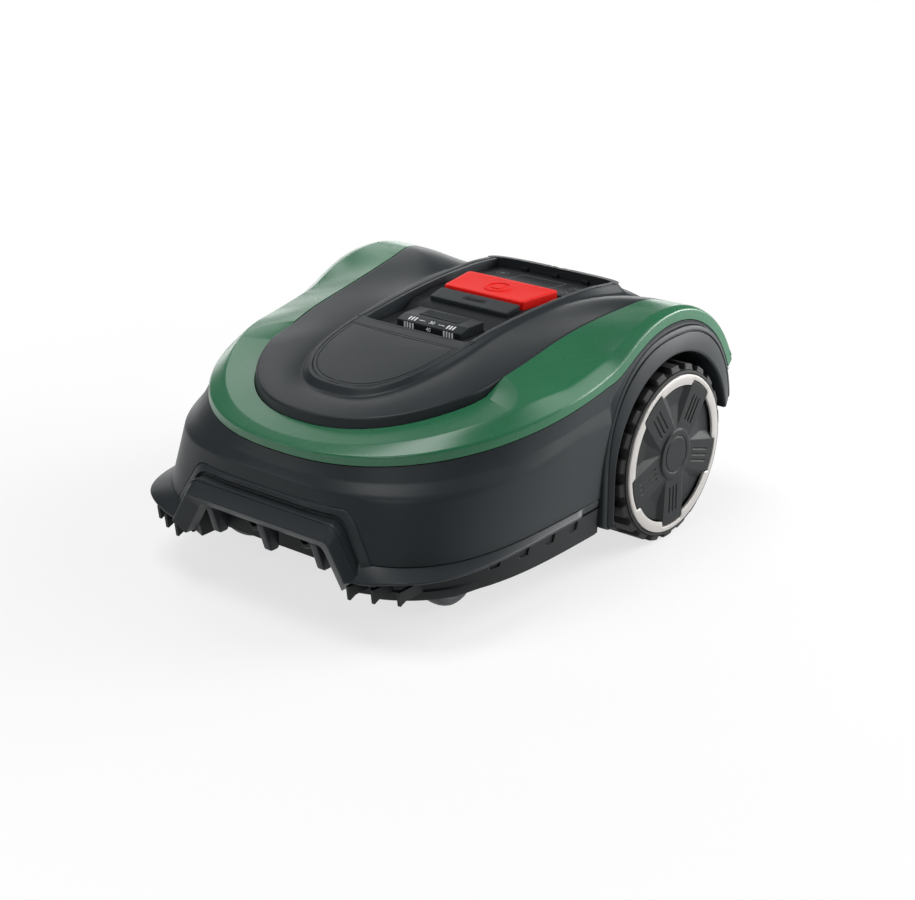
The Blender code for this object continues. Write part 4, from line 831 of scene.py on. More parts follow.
def hood_ring(station):
    """The hood from its foot over the step's lip and the valley to the platform's edge. The valley is a
    straight line from lip to platform foot plus a parabola that bulges or hollows it."""
    step, seam = size("hood_step"), size("seam")
    x, y = hood_plan(station)
    low, high = low_hood_height(y), high_hood_height(y)
    lip = mix(low + step, high, ramp(y, -100, -44))
    lip = mix(lip, TAIL_Z + HOOD_LAP + seam, ramp(station, 2.0, 2.35))
    foot_z = np.minimum(mix(low, high, wedge_climb(station)), lip - HOOD_LAP)
    inset = 1 - 0.009 * np.clip((lip - foot_z - HOOD_LAP) / step, 0, 1)
    foot, first = points(x, y, foot_z), points(x * inset, y * inset, lip)
    x, y = PLATFORM_FOOT.at(station)
    drop = 4.5 - 2.5 * ramp(y, -60, 60) + 6 * ramp(y, 80, 165)
    bead = points(x, y, platform_height(y) - drop)
    bulge = 1.5 - 2.5 * ramp(y, -60, 60) + 5 * ramp(y, 50, 130) + 14 * smooth(station - 1.9)
    valley = []
    for share in np.linspace(0, 1, 14)[1:-1]:
        row = mix(first, bead, share)
        row[:, 2] += bulge * 4 * share * (1 - share)
        valley.append(row)
    x, y = PLATFORM_EDGE.at(station)
    edge, inner = (points(x * share, y * share, platform_height(y * share)) for share in (1, 0.985))
    return fillet([foot, first, *valley, bead, edge, inner], [1.7] + [0] * 12 + [2.5, 1.4])[:-1]


def platform_patch(y):
    """The platform as rows from front to back. Each row runs from the middle, or the well's rim with its
    turned-down lip, over the floor of the panel's recess and its wall out to the platform's edge."""
    front, back = -WELL_EDGE.reach, WELL_EDGE.back
    twin = np.concatenate([[False], np.diff(y) < 1e-6])
    beside_well = (y >= front) & (y <= back)
    in_well = beside_well & ~((y == front) & ~twin) & ~((y == back) & twin)
    rim = np.where(beside_well, WELL_EDGE.half_at(y), 0)
    outer = PLATFORM_EDGE.half_at(y) * 0.9925
    recess_end = NOSE_BACK_Y + NOSE_GAP
    sunk = (y < recess_end) | ((y == recess_end) & ~twin)
    ahead = y > NOSE_BACK_Y - NOSE_DEPTH - NOSE_GAP
    wall = np.clip(np.where(ahead, nose_half(y, NOSE_GAP), 0), rim, outer)
    depth = NOSE_RECESS * (sunk & ahead)
    height = platform_height(y)
    curl = 1.8 * in_well
    columns = [points(rim, y, height - (height - well_floor(y) - 0.4) * in_well)]
    for turn in np.linspace(0, math.pi / 2, 5):
        across, down = curl * (1 - math.cos(turn)), curl * (1 - math.sin(turn))
        columns.append(points(rim + across, y, height - depth - down))
    start = rim + curl
    wall = np.maximum(wall, start)
    columns += [points(mix(start, wall, share), y, height - depth) for share in np.linspace(0, 1, 13)[1:]]
    columns += [points(mix(wall, outer, share), y, height) for share in np.linspace(0, 1, 9)]
    return np.array(columns)


class MOWER_OT_hood(bpy.types.Operator):
    """Add the dark hood: a front step, side valleys and a raised platform with the well and the recess"""

    bl_idname = "mower.hood"
    bl_label = "Hood"

    def execute(self, context):
        y = hood_columns()
        ring, platform = hood_ring(PLATFORM_EDGE.station_at(y)), platform_patch(y)
        joint = np.stack([ring[-1], platform[-1]])
        add_shell("hood", [ring, joint, platform[::-1]], "shell_dark", "top_hood")
        return {"FINISHED"}


def panel_patch():
    """The D-shaped plate: its outline drawn in to its middle, with a rounded edge and a groove inside it."""
    turn = np.linspace(0, math.pi / 2, 41)
    half = NOSE_HALF_WIDTH * np.sin(turn) ** NOSE_POWER
    y = NOSE_BACK_Y - NOSE_DEPTH * np.cos(turn) ** NOSE_POWER
    back = np.linspace(NOSE_HALF_WIDTH, -NOSE_HALF_WIDTH, 41)
    x = np.concatenate([half, back[1:-1], -half[:0:-1]])
    y = np.concatenate([y, np.full(39, NOSE_BACK_Y), y[:0:-1]])
    middle_y = -72
    rows = []
    for inset, lift in ((0, -1.2), (0, -0.45), (0.3, 0), (2.4, 0.1), (2.8, -0.35), (3.5, -0.35), (3.9, 0.1),
                        (12, 0.25), (22, 0.3), (30, 0.3)):
        draw = 1 - inset / np.hypot(x, y - middle_y)
        row_y = mix(middle_y, y, draw)
        rows.append(points(x * draw, row_y, platform_height(row_y) + lift))
    return closed_sweep(rows)


class MOWER_OT_nose_panel(bpy.types.Operator):
    """Add the bare D-shaped panel in front of the well"""

    bl_idname = "mower.nose_panel"
    bl_label = "Nose Panel"

    def execute(self, context):
        add_solid("nose_plate", [panel_patch()], "shell_dark", "nose_panel")
        return {"FINISHED"}


# Bumper and arches

def flange_row(down, aside, foot, proud):
    """A row of the bumper's flange, which follows the skirt's front face at a distance from it."""
    x, z = port_line(down, aside, PORT_CORNER, foot).T
    face = mix(BODY_FOOT.front_y(x), BODY_CREASE.front_y(x), np.clip((z - 65) / 47, 0, 1))
    return points(x, np.maximum(face, -205) + proud, z)


def visor_row(down, aside, corner, foot, y):
    """A row of the bumper's visor, which keeps to one distance in front."""
    x, z = port_line(down, aside, corner, foot).T
    return points(x, y, z)


def bumper_frame():
    """A flange that follows the skirt, a groove and a pointed visor with a fine line below its upper rim:
    a closed profile carried along the port's outline."""
    flange = ((10.5, 12.5, 58, 3), (0, 0, 62, 3), (0, 0, 62, 0.2), (0.9, 1.2, 61.7, -0.9),
              (4.4, 7.8, 60.2, -2.5), (5.6, 9, 59.4, -0.8), (6.6, 9.6, 59, 0.6), (8.6, 11, 58, 0.2))
    visor = ((9, 10.7, 7, 56.6, -210.6), (9.9, 10.9, 7, 56, -212.1), (10.4, 11.2, 7, 55.8, -212.2),
             (10.7, 11.6, 6.8, 55.7, -211.6), (11.2, 11.9, 6.6, 55.6, -212.7), (20.2, 18.6, 4, 53, -221.5),
             (28.5, 34, 6, 42, -215.5), (28.5, 34, 6, 42, -203))
    rows = [flange_row(*row) for row in flange] + [visor_row(*row) for row in visor]
    return filleted_sweep(rows, [0, 0.3, 0.6, 1.2, 0.8, 0.5, 0.6, 0.5, 0.8, 0.2, 0.15, 0.2, 1.6, 1.8])


def bumper_band():
    """The rim along the side, from the port's corner to the wheel arch, as a profile carried along it."""
    s = along(np.linspace(0.25, 1, 140), np.linspace(1, 1.055, 12))
    top_x, top_y = BODY_FOOT.at(s)
    rim_x, rim_y = BUMPER_RIM.at(s)
    under_x, under_y = BUMPER_UNDER.at(s)
    proud = 1 - ramp(rim_y, -22, -10)
    rim_x = mix(top_x, rim_x, proud)
    near_port = 1 - ramp(top_x, 95, 130)
    rim_y = rim_y + 2.5 * near_port
    top_z, rim_z, under_z = 64.2, 60 - 6 * near_port, 57.3 - 6 * near_port
    inner = 3
    rows = [points(top_x - inner, top_y + inner * proud, top_z), points(top_x, top_y, top_z),
            points(rim_x, rim_y, rim_z), points(rim_x - 0.5, rim_y + 0.4 * proud, rim_z - 2),
            points(under_x, under_y, under_z), points(under_x - inner, under_y + inner * proud, under_z)]
    return filleted_sweep(rows, [0.5, 1.2, 0.8, 0.5])


def port_rib(x):
    """One rib below the visor: a flat outline carried across its width and drawn in at both sides."""
    corners = [(-214.8, 78), (-214.8, 71.5), (-207, 48), (-197, 48), (-197, 68), (-204, 78)]
    slices = ((-3.5, 0.93), (-3.2, 0.98), (-2.7, 1), (2.7, 1), (3.2, 0.98), (3.5, 0.93))
    return crossed_patch(rounded(corners, 3), [(x + side, share) for side, share in slices])


class MOWER_OT_bumper(bpy.types.Operator):
    """Add the bumper: a hooded frame round the charging port, with a rim along each side"""

    bl_idname = "mower.bumper"
    bl_label = "Bumper"

    def execute(self, context):
        band = bumper_band()
        patches = [bumper_frame(), band, band * (-1, 1, 1), *(port_rib(x) for x in PORT_RIBS_X)]
        add_solid("bumper", patches, "shell_dark", "front_bumper")
        self.add_contacts()
        return {"FINISHED"}

    def add_contacts(self):
        """The two charging contacts: a dark housing with a plated pin in its mouth."""
        housing = [(5, -22), (7.6, -22), (8.6, -21), (9, -19.5), (9, 0), (0.01, 0), (0.01, -18), (4.4, -18),
                   (5, -18.6)]
        pin = [(0.01, -20.4), (2, -20.2), (3.4, -19.2), (3.9, -17.8), (3.9, -15), (0.01, -15)]
        for side, sign in SIDES:
            for name, profile, slot, nodes in (("housing", housing, "trim_black", [f"{side}_contact"]),
                                               ("pin", pin, "contact_metal", [])):
                patch = turned_patch(profile, (sign * 28, -172.3, 62), "Y")
                add_solid(f"{side}_port_{name}", [patch], slot, *nodes)


def tray_strip():
    """The tray's outer side over (place along, height): a lip along the lower front, four notches below
    the bumper's rim, and a thin back inside the wall."""
    s = along(np.linspace(TRAY_HIGH.station_at(-197), 0.62, 60),
              TRAY_HIGH.station_at(np.arange(-145, 8.1, 0.5)))
    low, high = np.array(TRAY_LOW.at(s)), np.array(TRAY_HIGH.at(s))
    lip = 1 - ramp(high[1], -158, -132)
    foot = 33.8 - 1.5 * lip
    levels = [(foot, -1.2), (foot, 0.3 + 1.3 * lip), (foot + 1, 0.3 + 1.9 * lip), (40, 0.3 + 1.8 * lip),
              (40.8, 0.3 + 1.2 * lip), (41.4, 0.3 + 0.2 * lip)]
    levels += [(z, 0.3) for z in np.arange(43, 56.6, 0.45)] + [(56.4, -1.2)]
    rows = []
    for z, proud in levels:
        x, y = mix(low, high, (z - 34) / 22.6)
        room = 4.9 + 0.26 * (z - 47.8)
        beside = np.min([np.abs(y - middle) for middle in (-120, -89, -57, -26)], axis=0)
        notch = smooth((room - beside) / 0.7) * smooth((z - 48) / 0.8)
        grow = 1 + (proud - 1.6 * notch * (proud > 0)) / np.hypot(x, y)
        rows.append(points(x * grow, y * grow, z))
    return closed_sweep(np.array(rows).transpose(1, 0, 2))


class MOWER_OT_tray_sides(bpy.types.Operator):
    """Add the smooth outer sides of the tray with the lip and the notches"""

    bl_idname = "mower.tray_sides"
    bl_label = "Tray Sides"

    def execute(self, context):
        for side, sign in SIDES:
            add_solid(f"{side}_tray_side", [tray_strip()], "trim_black", sign=sign)
        return {"FINISHED"}


def arch_patch():
    """A flange round the wheel with a groove beside its seam, proud towards its opening, and the liner
    and wall behind it: a closed profile carried up the front leg and over the wheel to the tail."""
    angle = np.linspace(math.pi, math.radians(9.5), 121)
    c, s = np.cos(angle), np.sin(angle)
    half_gap, foot_corner = 0.35, 7
    crown_y = CROWN_Y + (CROWN_HALF - half_gap) * np.sign(c) * np.abs(c) ** (2 / CROWN_POWER)
    crown_z = ARCH_Z + (CROWN_RISE - half_gap) * np.maximum(s, 0) ** (2 / CROWN_POWER)
    leg_z = mix(ARCH_FOOT_Z, ARCH_Z, np.linspace(0, 1, 16)[:-1])
    corner = np.clip((ARCH_FOOT_Z + foot_corner - leg_z) / foot_corner, 0, 1)
    leg_y = crown_y[0] + foot_corner * (1 - np.sqrt(1 - corner ** 2))
    seam = np.stack([np.concatenate([leg_y, crown_y]), np.concatenate([leg_z, crown_z])], axis=-1)

    def circle(radius):
        """A circle about the arch's middle, with a straight leg down its front."""
        y, z = ARCH_Y + radius * c, ARCH_Z + radius * s
        return np.stack([np.concatenate([np.full(len(leg_z), y[0]), y]), np.concatenate([leg_z, z])], axis=-1)

    edge, back, hole = circle(86), circle(88.6), circle(20)
    way = edge - seam
    distance = np.linalg.norm(way, axis=-1, keepdims=True)

    def inward(reach):
        """The seam drawn in towards the opening."""
        return seam + way * np.clip(reach / distance, 0, 1)

    lines = [(seam, 158), (seam, 170.8), (inward(0.8), 171.7), (inward(4.0), 172.6), (inward(4.5), 171.5),
             (inward(5.3), 171.6), (inward(5.8), 173), (edge + way / distance * -1.4, 176), (edge, 174.6),
             (edge, 130.6), (hole, 130.6), (hole, 128), (back, 128), (back, 158)]
    rows = [points(x, line[:, 0], line[:, 1]) for line, x in lines]
    return filleted_sweep(rows, [0.4, 0.4, 0.3, 0.2, 0.2, 0.3, 1.2, 1.0, 0, 0, 0, 0])


class MOWER_OT_arches(bpy.types.Operator):
    """Add the flange and the liner round each drive wheel"""

    bl_idname = "mower.arches"
    bl_label = "Wheel Arches"

    def execute(self, context):
        for side, sign in SIDES:
            add_solid(f"{side}_arch", [arch_patch()], "shell_dark", f"{side}_wheel_arch", sign=sign)
        return {"FINISHED"}


# Wheels

def round_axle(radius, x, angle):
    """Points at radii about the drive wheel's axle."""
    return points(x, WHEEL_Y + radius * np.cos(angle), WHEEL_Z + radius * np.sin(angle))


def tyre_patch():
    """A tyre over (angle, place across): a groove radius plus lugs that rise on alternate halves."""
    lugs = bpy.context.scene.mower_sizes.lugs
    angle = np.linspace(0, 2 * math.pi, lugs * 24, endpoint=False)
    middle, outer, inner, groove = 158.1, 179.2, 137, 73.2
    stops = (outer - 0.6, outer - 3.6, middle + 1.6, middle - 1.6, inner + 3.6, inner + 0.6)
    across = [[stops[0]]] + [np.linspace(first, last, count)[1:] for first, last, count
                             in zip(stops, stops[1:], (9, 10, 7, 10, 9))]
    across = np.concatenate(across)[:, None]
    from_middle = np.abs((angle * lugs / (2 * math.pi) + 0.5 * (across < middle)) % 1 - 0.5)
    lug = smooth((0.29 - from_middle) / 0.07 + 0.5)
    lug = lug * smooth((np.minimum(outer - across, across - inner) - 0.8) / 2.6)
    lug = lug * smooth((np.abs(across - middle) - 0.3) / 1.1)
    tread = round_axle(groove + size("lug_depth") * lug, across, angle)
    walls = ((70.6, outer), (72.2, outer), (groove, outer - 0.6), (69.9, outer - 0.6), (69.9, inner + 0.6),
             (70.6, inner), (72.2, inner), (groove, inner + 0.6))
    return closed_band(np.concatenate([[round_axle(radius, x, angle) for radius, x in walls], tread[::-1]]))


def from_spoke(angle):
    """The angle from the nearest spoke's middle."""
    pitch = 2 * math.pi / SPOKES
    return (angle - SPOKE_PHASE + pitch / 2) % pitch - pitch / 2


def ring_inner(angle):
    """The trim ring's inner radius, stepped out where the spokes reach in."""
    off = np.degrees(np.abs(from_spoke(angle)))
    return mix(WIDE_INNER, NARROW_INNER, 1 - ramp(off, 12.5, 15.5))


def trim_patch():
    """The trim ring over (angle, profile): a flat face with rounded edges."""
    angle = np.linspace(0, 2 * math.pi, 720, endpoint=False)
    inner, outer = ring_inner(angle), np.full(720, 69.5)
    sections = [(outer, 178.4), (outer, 179.9), (outer - 0.3, 180.4), (outer - 0.9, 180.6),
                ((outer + inner) / 2, 180.75), (inner + 0.9, 180.6), (inner + 0.3, 180.4), (inner, 179.9),
                (inner, 178.4)]
    return closed_band([round_axle(radius, x, angle) for radius, x in sections])


def hub_height(radius, angle):
    """x of the hub cover's face: the highest of a boss with sloping sides, five level spokes and a floor,
    less three grooves along each spoke and a ring groove in the boss."""
    off = from_spoke(angle)
    reach, across = radius * np.cos(off), np.abs(radius * np.sin(off))
    spoke = 180.3 - 0.5 * np.maximum(across - 11.5 - 0.05 * reach, 0)
    boss = 180.5 - 0.16 * np.maximum(radius - 22, 0)
    face = soft_max(soft_max(spoke, boss, 0.12), np.full_like(radius, 176.9), 0.15)
    face = face + 1.3 * smooth((23 - radius) / 1.4) - 0.7 * bump(radius, 16, 1)
    stretch = smooth((reach - 29) / 1.5) * smooth((54 - reach) / 1.5)
    face = face - 1.1 * stretch * (bump(across, 0, 1.2) + bump(across, 5.2, 1.2))
    return face - 1.0 * smooth((radius - ring_inner(angle) + 1.6) / 1.3)


def hub_patch():
    """The hub cover over (angle, share of the radius), with its flat back."""
    angle = np.linspace(0, 2 * math.pi, 900, endpoint=False)
    outer = ring_inner(angle) - 0.4
    radius = along(np.linspace(0, 0.9, 62), np.linspace(0.9, 1, 14))[:, None] * outer
    face = round_axle(radius, hub_height(radius, angle), angle)
    rows = np.concatenate([face, [round_axle(outer, 176.2, angle), round_axle(outer * 0, 176.2, angle)]])
    return np.concatenate([rows, rows[:, :1]], axis=1)


class MOWER_OT_wheels(bpy.types.Operator):
    """Add the tyre, the trim ring and the hub cover of each drive wheel"""

    bl_idname = "mower.wheels"
    bl_label = "Drive Wheels"

    def execute(self, context):
        pieces = (("tread", "tyre", tyre_patch(), "tyre_rubber"),
                  ("ring", "trim_ring", trim_patch(), "ring_silver"),
                  ("hub", "hub_cover", hub_patch(), "trim_black"))
        for side, sign in SIDES:
            for name, node, patch, slot in pieces:
                add_solid(f"{side}_{name}", [patch], slot, f"{side}_{node}", sign=sign, body=f"{side}_wheel")
        return {"FINISHED"}


class MOWER_OT_casters(bpy.types.Operator):
    """Add the turned wheel of each caster"""

    bl_idname = "mower.casters"
    bl_label = "Caster Wheels"

    def execute(self, context):
        half = [(3.4, 11), (9, 11), (9.6, 10.4), (10.4, 9.2), (20, 9.2), (21, 10.4), (22, 11), (24.2, 11),
                (26.5, 10.2), (28.4, 8.2), (29.4, 5.6), (29.9, 2.8)]
        profile = half + [(30, 0)] + [(r, -x) for r, x in half[::-1]]
        for side, _ in SIDES:
            low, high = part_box(f"{side}_caster_wheel")
            patch = turned_patch(profile, np.array((low + high) / 2) / MM, "X")
            add_solid(f"{side}_roller", [patch], "caster_grey", f"{side}_caster_wheel",
                      body=f"{side}_caster_roller")
        return {"FINISHED"}


# Controls

class MOWER_OT_height_adjuster(bpy.types.Operator):
    """Add the block of the height adjuster with its grip pad and its scale"""

    bl_idname = "mower.height_adjuster"
    bl_label = "Height Adjuster"

    def execute(self, context):
        half, front, back, foot = 35, BLOCK_FRONT_Y, 26, 158
        corners = [(back, foot), (front, foot), (front, 183.9), (4.2, 186.8), (back, BLOCK_TOP_Z)]
        slices = [(-half, 0.97), (-half + 0.3, 0.992), (-half + 1, 1), (half - 1, 1), (half - 0.3, 0.992),
                  (half, 0.97)]
        block = crossed_patch(rounded(corners, 0.7, 4), slices)
        add_solid("height_block", [block, self.grip_pad()], "shell_dark", "height_adjuster", body="cutter",
                  sharp=25)
        plate = slab_patch(oblong(0, 0, 33.6, 8.5), 0.6, constant(-1), constant(0.15), 0.1)
        mesh = tilted(surface_mesh("scale_plate", [plate]), front, 174.3, math.pi / 2)
        add_piece("scale_plate", mesh, "shell_dark", body="cutter", look="trim_black")
        self.add_scale()
        return {"FINISHED"}

    def grip_pad(self):
        """A raised pad over (across, from front to back): five waves between two level ends."""
        x = np.linspace(-22, 22, 45)[:, None]
        y = np.linspace(7.6, 22.6, 121)
        ends = smooth((y - 7.6) / 0.8) * smooth((22.6 - y) / 0.8)
        wave = 0.5 + 0.5 * np.cos((y - 15.1) * 2 * math.pi / 2.6)
        middle = smooth((6.3 - np.abs(y - 15.1)) / 0.6)
        height = ends * (0.95 - 0.6 * middle * wave)
        face = points(x, y, BLOCK_TOP_Z - 0.2 + smooth((22 - np.abs(x)) / 1.2) * height)
        under = face[:, ::-1] * (1, 1, 0) + (0, 0, BLOCK_TOP_Z - 1.2)
        return closed_sweep(np.concatenate([face, under], axis=1))

    def add_scale(self):
        """A figure between two groups of bars, on the front face and on the slope above it."""
        depth = 0.2
        faces = (("40", BLOCK_FRONT_Y - 0.15, 180.6, math.pi / 2, 4.8, (17, 20, 23, 26), ()),
                 ("30", -0.65, 185.35, math.atan2(2.9, 9.7), 5.2, (17.5, 20.7, 23.9), (10.5,)))
        for figure, y, z, angle, height, group, dashes in faces:
            bars = [(x, 0.8, height / 2) for x in group] + [(x, 3.4, 0.3) for x in dashes]
            meshes = [text_mesh(figure, height * 1.1, depth)]
            for x, half_x, half_y in bars:
                meshes += [self.bar(oblong(side * x, 0, half_x, half_y), depth) for side in (1, -1)]
            mesh = tilted(joined(f"scale_{figure}", meshes), y, z, angle)
            add_piece(f"scale_{figure}", mesh, "shell_dark", body="cutter", look="scale_print")

    def bar(self, corners, depth):
        """One bar of the scale in the XY plane."""
        x, y = rounded(corners, 0.25, 3).T
        return surface_mesh("bar", [closed_sweep([points(x, y, z) for z in (-depth, depth)])])


def stop_top(y):
    """The button's top, a little higher towards the back."""
    return 195.3 + 1.2 * (y - 69) / 45


def stop_corners(grow):
    """The button's corners, grown all round."""
    return tapered(68.4 - grow, 43 + grow, 113.6 + grow, 49.8 + grow)


class MOWER_OT_stop_button(bpy.types.Operator):
    """Add the wide stop button with a plain raised sign"""

    bl_idname = "mower.stop_button"
    bl_label = "Stop Button"

    def execute(self, context):
        slab = slab_patch(stop_corners(0), 3.2, constant(187.5), stop_top, 1.2, 0.5, 4.2)
        profile = [(0.01, 192.5), (5, 192.5), (5, 177.6), (4.4, 177), (0.01, 177)]
        stem = turned_patch(profile, (0, STOP_Y, 0), "Z", 48)
        add_solid("stop_cap", [slab, stem], "stop_red", "stop_button", body="stop")
        ring = turned_patch([(10.4, -0.3), (12.6, -0.3), (12.4, 0.55), (10.6, 0.55)], (0, 0, 0), "Z")
        square = slab_patch(oblong(0, 0, 5, 5), 1, constant(-0.3), constant(0.55), 0.3)
        mesh = tilted(surface_mesh("stop_sign", [ring, square]), 91.5, 195.5, math.atan2(1.2, 45))
        add_piece("stop_sign", mesh, "stop_red", body="stop")
        return {"FINISHED"}


def bar_floor(y):
    """Where the pieces of the well stand on its floor."""
    return well_floor(y) + 0.35


def bar_top(y):
    """The sensor bar's upper face, which climbs towards the button."""
    return 190.3 + 0.186 * (y - 48.5)


def keys_top(y):
    """The key panel's upper face."""
    return bar_floor(y) + 1.3


def raised(patches, law):
    """The same patches, lifted onto a height law."""
    return [patch + points(0, 0, law(patch[..., 1])) for patch in patches]


def floor_patches():
    """The well's floor over (front to back, across): a sheet on either side of the slot and the button's
    room, and three sheets between them that leave those two open."""
    slot_front, slot_back, room_front, room_back = -6.7, 27.2, 67.7, 114.3
    y = along(np.linspace(-28, 182, 106), [slot_front, slot_back, room_front, room_back], digits=4)
    half = np.interp(y, (-28, 182), (61, 67.5))
    inner = np.interp(y, (slot_back, room_front, room_back), (36.2, 43.8, 50.6))
    everywhere, before, after = y == y, y <= slot_front, y >= room_back
    amid = (y >= slot_back) & (y <= room_front)
    patches = []
    for rows, first, last in ((everywhere, inner, half), (everywhere, -half, -inner), (before, -inner, inner),
                              (amid, -inner, inner), (after, -inner, inner)):
        x = mix(first[rows, None], last[rows, None], np.linspace(0, 1, 7))
        patches.append(points(x, y[rows, None], well_floor(y)[rows, None]))
    return patches


class MOWER_OT_well_pieces(bpy.types.Operator):
    """Add the sensor bar with its pill-shaped window, the key panel with plain signs and the lid's clips"""

    bl_idname = "mower.well_pieces"
    bl_label = "Well Pieces"

    def execute(self, context):
        bar = slab_patch(tapered(47.7, 42, 66, 43), 1.2, bar_floor, bar_top, 0.8)
        add_solid("bar", [bar], "trim_black", "sensor_bar", look="shell_dark")
        window = slab_patch(oblong(0, 57.6, 12.6, 3.2), 2.6, constant(0), constant(0.12), 0.1)
        block = slab_patch(oblong(0, 58.2, 9.6, 1.7), 0.8, constant(0), constant(0.6), 0.3)
        add_solid("bar_window", raised([window, block], bar_top), "trim_black")
        panel = slab_patch(tapered(120, 50, 168, 54), 5, bar_floor, keys_top, 0.6)
        add_solid("key_panel", [panel], "trim_black", "keypad")
        self.add_keys()
        self.add_floor()
        clips = [slab_patch(oblong(x, 176.9, 3.2, 1.7), 0.6, bar_floor, constant(187.6), 0.4)
                 for x in (-34, 0, 34)]
        add_solid("lid_clips", clips, "trim_black")
        return {"FINISHED"}

    def add_keys(self):
        """A display frame and four round keys with plain signs, printed on the panel."""
        thickness = 0.2
        ring = [(5.4, 0), (6, 0), (6, thickness), (5.4, thickness)]
        places = ((-40, 130), (40, 130), (-41, 152), (41, 152))
        patches = [turned_patch(ring, (x, y, 0), "Z") for x, y in places]
        for strip in ((-40, 130, 0.5, 3), (-40, 130, 3, 0.5), (40, 130, 3, 0.5), (-41, 152, 2.4, 2.4),
                      (39.4, 152, 0.6, 2.6), (42.6, 152, 0.6, 2.6), (0, 124.5, 24, 0.35), (0, 161, 24, 0.35),
                      (-24, 142.7, 0.35, 18), (24, 142.7, 0.35, 18)):
            patches.append(slab_patch(oblong(*strip), 0.3, constant(0), constant(thickness), 0.05))
        add_solid("key_signs", raised(patches, lambda y: keys_top(y) - 0.05), "trim_black", look="key_print")

    def add_floor(self):
        """The well's floor with a slot for the height block, and the button's sunk room with a spring cup."""
        mesh = thickened(surface_mesh("floor_sheet", floor_patches(), closed=False), 1.6)
        outline = rounded(stop_corners(0.7), 2.6)
        centre = np.array((0, STOP_Y))
        away = outline - centre
        ring = centre + away / np.linalg.norm(away, axis=1, keepdims=True) * 13
        outer = centre + away * 1.04
        levels = ((outer, 186.4), (outer, 181), (ring, 181), (ring, 183), (outline, 183), (outline, 186.4))
        room = closed_band([points(row[:, 0], row[:, 1], z) for row, z in levels])
        cup = turned_patch([(0.01, 170), (14, 170), (14, 182.5), (12, 182.5), (12, 172), (0.01, 172)],
                           (0, STOP_Y, 0), "Z")
        mesh = joined("well_floor", [mesh, surface_mesh("stop_room", [room, cup])])
        add_piece("well_floor", mesh, "trim_black", "control_tray")


class MOWER_OT_carried_over(bpy.types.Operator):
    """Give every CAD solid that stays in view the finish of its slot"""

    bl_idname = "mower.carried_over"
    bl_label = "Carried-over Solids"

    def execute(self, context):
        for part in frame["record"]["subparts"]:
            mesh = frame["nodes"][part["node"]].data
            mesh.materials.clear()
            mesh.materials.append(finish(part["material_slot"]))
        return {"FINISHED"}


# Stage

def add_lamp(name, place, aim_height, width, height, power):
    """A broad panel lamp that faces the mower."""
    lamp = bpy.data.lights.new(name, "AREA")
    lamp.shape = "RECTANGLE"
    lamp.size = width
    lamp.size_y = height
    lamp.energy = power
    item = bpy.data.objects.new(name, lamp)
    item.location = place
    item.visible_camera = False
    item.rotation_euler = (Vector((0, 0, aim_height)) - Vector(place)).to_track_quat("-Z", "Y").to_euler()
    bpy.context.scene.collection.objects.link(item)


def ray_value(tree, camera, mirrored):
    """One value for rays straight from the camera, one for mirrored rays and those let through, else 0."""
    rays = tree.nodes.new("ShaderNodeLightPath").outputs
    values = (("Is Camera Ray", camera), ("Is Glossy Ray", mirrored), ("Is Transmission Ray", mirrored))
    seen, mirror, through = (add_node(tree, "Math", {0: rays[ray], 1: value}, operation="MULTIPLY")
                             for ray, value in values)
    direct = add_node(tree, "Math", {0: seen, 1: mirror}, operation="MAXIMUM")
    return add_node(tree, "Math", {0: direct, 1: through}, operation="MAXIMUM")


def floor_finish():
    """A pale floor that shows as white, and keeps part of the shadow close to the object."""
    material = bpy.data.materials.new("pale_floor")
    material.use_nodes = True
    tree = material.node_tree
    shader = tree.nodes["Principled BSDF"]
    feed(tree, shader, {"Base Color": (0.9, 0.9, 0.9, 1), "Roughness": 0.9, "Specular IOR Level": 0.1})
    place = tree.nodes.new("ShaderNodeTexCoord").outputs["Object"]
    away = add_node(tree, "VectorMath", {0: place}, operation="LENGTH")
    share = add_node(tree, "MapRange", {"Value": away, "From Min": 0.3, "From Max": 0.8, "To Min": 0.7,
                                        "To Max": 1.0}, interpolation_type="SMOOTHSTEP")
    shown = add_node(tree, "Math", {0: share, 1: ray_value(tree, 1.0, 1.0)}, operation="MULTIPLY")
    white = add_node(tree, "Emission", {})
    surface = add_node(tree, "MixShader", {"Fac": shown, 1: shader.outputs["BSDF"], 2: white})
    feed(tree, tree.nodes["Material Output"], {"Surface": surface})
    return material


def set_world():
    """A room that shows as white, with a little light of its own."""
    world = bpy.data.worlds.new("studio")
    bpy.context.scene.world = world
    world.use_nodes = True
    tree = world.node_tree
    strength = add_node(tree, "Math", {0: ray_value(tree, 1.0, 0.12), 1: 0.04}, operation="MAXIMUM")
    feed(tree, tree.nodes["Background"], {"Color": (1, 1, 1, 1), "Strength": strength})


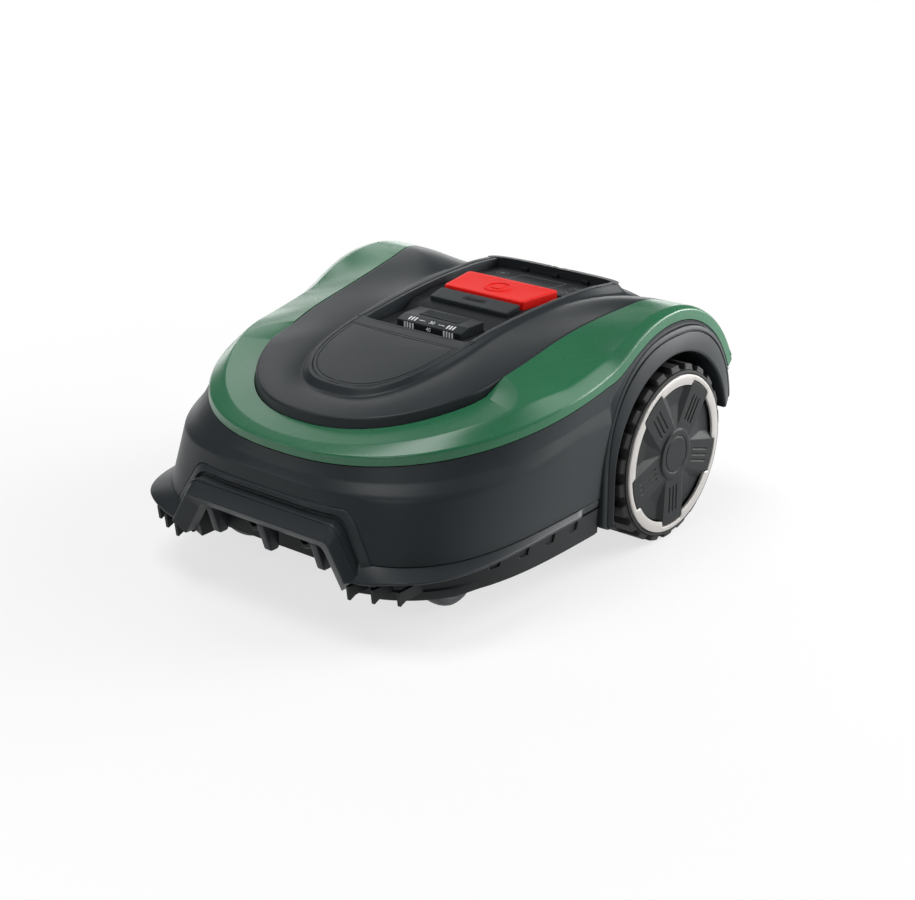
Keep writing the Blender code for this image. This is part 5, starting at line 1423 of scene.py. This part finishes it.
class MOWER_OT_stage(bpy.types.Operator):
    """Set up the floor, the lamps, the world and the camera"""

    bl_idname = "mower.stage"
    bl_label = "Stage"

    def execute(self, context):
        mesh = bpy.data.meshes.new("floor")
        corners = [(x, y, 0) for x, y in oblong(0, 0, FLOOR_HALF, FLOOR_HALF)]
        mesh.from_pydata(corners, [], [(0, 1, 2, 3)])
        mesh.materials.append(floor_finish())
        floor = bpy.data.objects.new("floor", mesh)
        context.scene.collection.objects.link(floor)
        for lamp in LAMPS:
            add_lamp(*lamp)
        set_world()
        self.add_camera(context)
        context.scene.view_settings.view_transform = "Standard"
        return {"FINISHED"}

    def add_camera(self, context):
        """The camera at the photograph's place and angle."""
        camera = bpy.data.cameras.new("camera")
        camera.sensor_width = CAMERA_SENSOR
        camera.lens = CAMERA_FOCAL_PIXELS / PHOTO_WIDTH * CAMERA_SENSOR
        item = bpy.data.objects.new("camera", camera)
        item.location = CAMERA_PLACE
        level = math.cos(CAMERA_ELEVATION)
        back = Vector((math.sin(CAMERA_AZIMUTH) * level, -math.cos(CAMERA_AZIMUTH) * level,
                       math.sin(CAMERA_ELEVATION)))
        item.rotation_euler = (-back).to_track_quat("-Z", "Y").to_euler()
        context.scene.collection.objects.link(item)
        context.scene.camera = item


PIECES = (MOWER_OT_carried_over, MOWER_OT_green_shell, MOWER_OT_skirt, MOWER_OT_hood, MOWER_OT_nose_panel,
          MOWER_OT_bumper, MOWER_OT_tray_sides, MOWER_OT_arches, MOWER_OT_wheels, MOWER_OT_casters,
          MOWER_OT_height_adjuster, MOWER_OT_stop_button, MOWER_OT_well_pieces, MOWER_OT_stage)


class MOWER_PT_sidebar(bpy.types.Panel):
    """Buttons for the pieces, with the sizes and colours"""

    bl_idname = "MOWER_PT_sidebar"
    bl_label = "Robotic Lawn Mower"
    bl_space_type = "VIEW_3D"
    bl_region_type = "UI"
    bl_category = "Mower"

    def draw(self, context):
        for group in (context.scene.mower_sizes, context.scene.mower_colours):
            # The first two properties of a group are Blender's own
            for name in group.bl_rna.properties.keys()[2:]:
                self.layout.prop(group, name)
        for piece in PIECES:
            self.layout.operator(piece.bl_idname)


CLASSES = (MowerSizes, MowerColours, *PIECES, MOWER_PT_sidebar)


def register():
    """Register the classes and the property groups."""
    for item in CLASSES:
        bpy.utils.register_class(item)
    bpy.types.Scene.mower_sizes = bpy.props.PointerProperty(type=MowerSizes)
    bpy.types.Scene.mower_colours = bpy.props.PointerProperty(type=MowerColours)


def unregister():
    """Take back what register did."""
    del bpy.types.Scene.mower_colours
    del bpy.types.Scene.mower_sizes
    for item in reversed(CLASSES):
        bpy.utils.unregister_class(item)


def main():
    """Build every piece and the stage."""
    register()
    bpy.ops.mower.carried_over()
    bpy.ops.mower.green_shell()
    bpy.ops.mower.skirt()
    bpy.ops.mower.hood()
    bpy.ops.mower.nose_panel()
    bpy.ops.mower.bumper()
    bpy.ops.mower.tray_sides()
    bpy.ops.mower.arches()
    bpy.ops.mower.wheels()
    bpy.ops.mower.casters()
    bpy.ops.mower.height_adjuster()
    bpy.ops.mower.stop_button()
    bpy.ops.mower.well_pieces()
    bpy.ops.mower.stage()


if __name__ == "__main__":
    main()
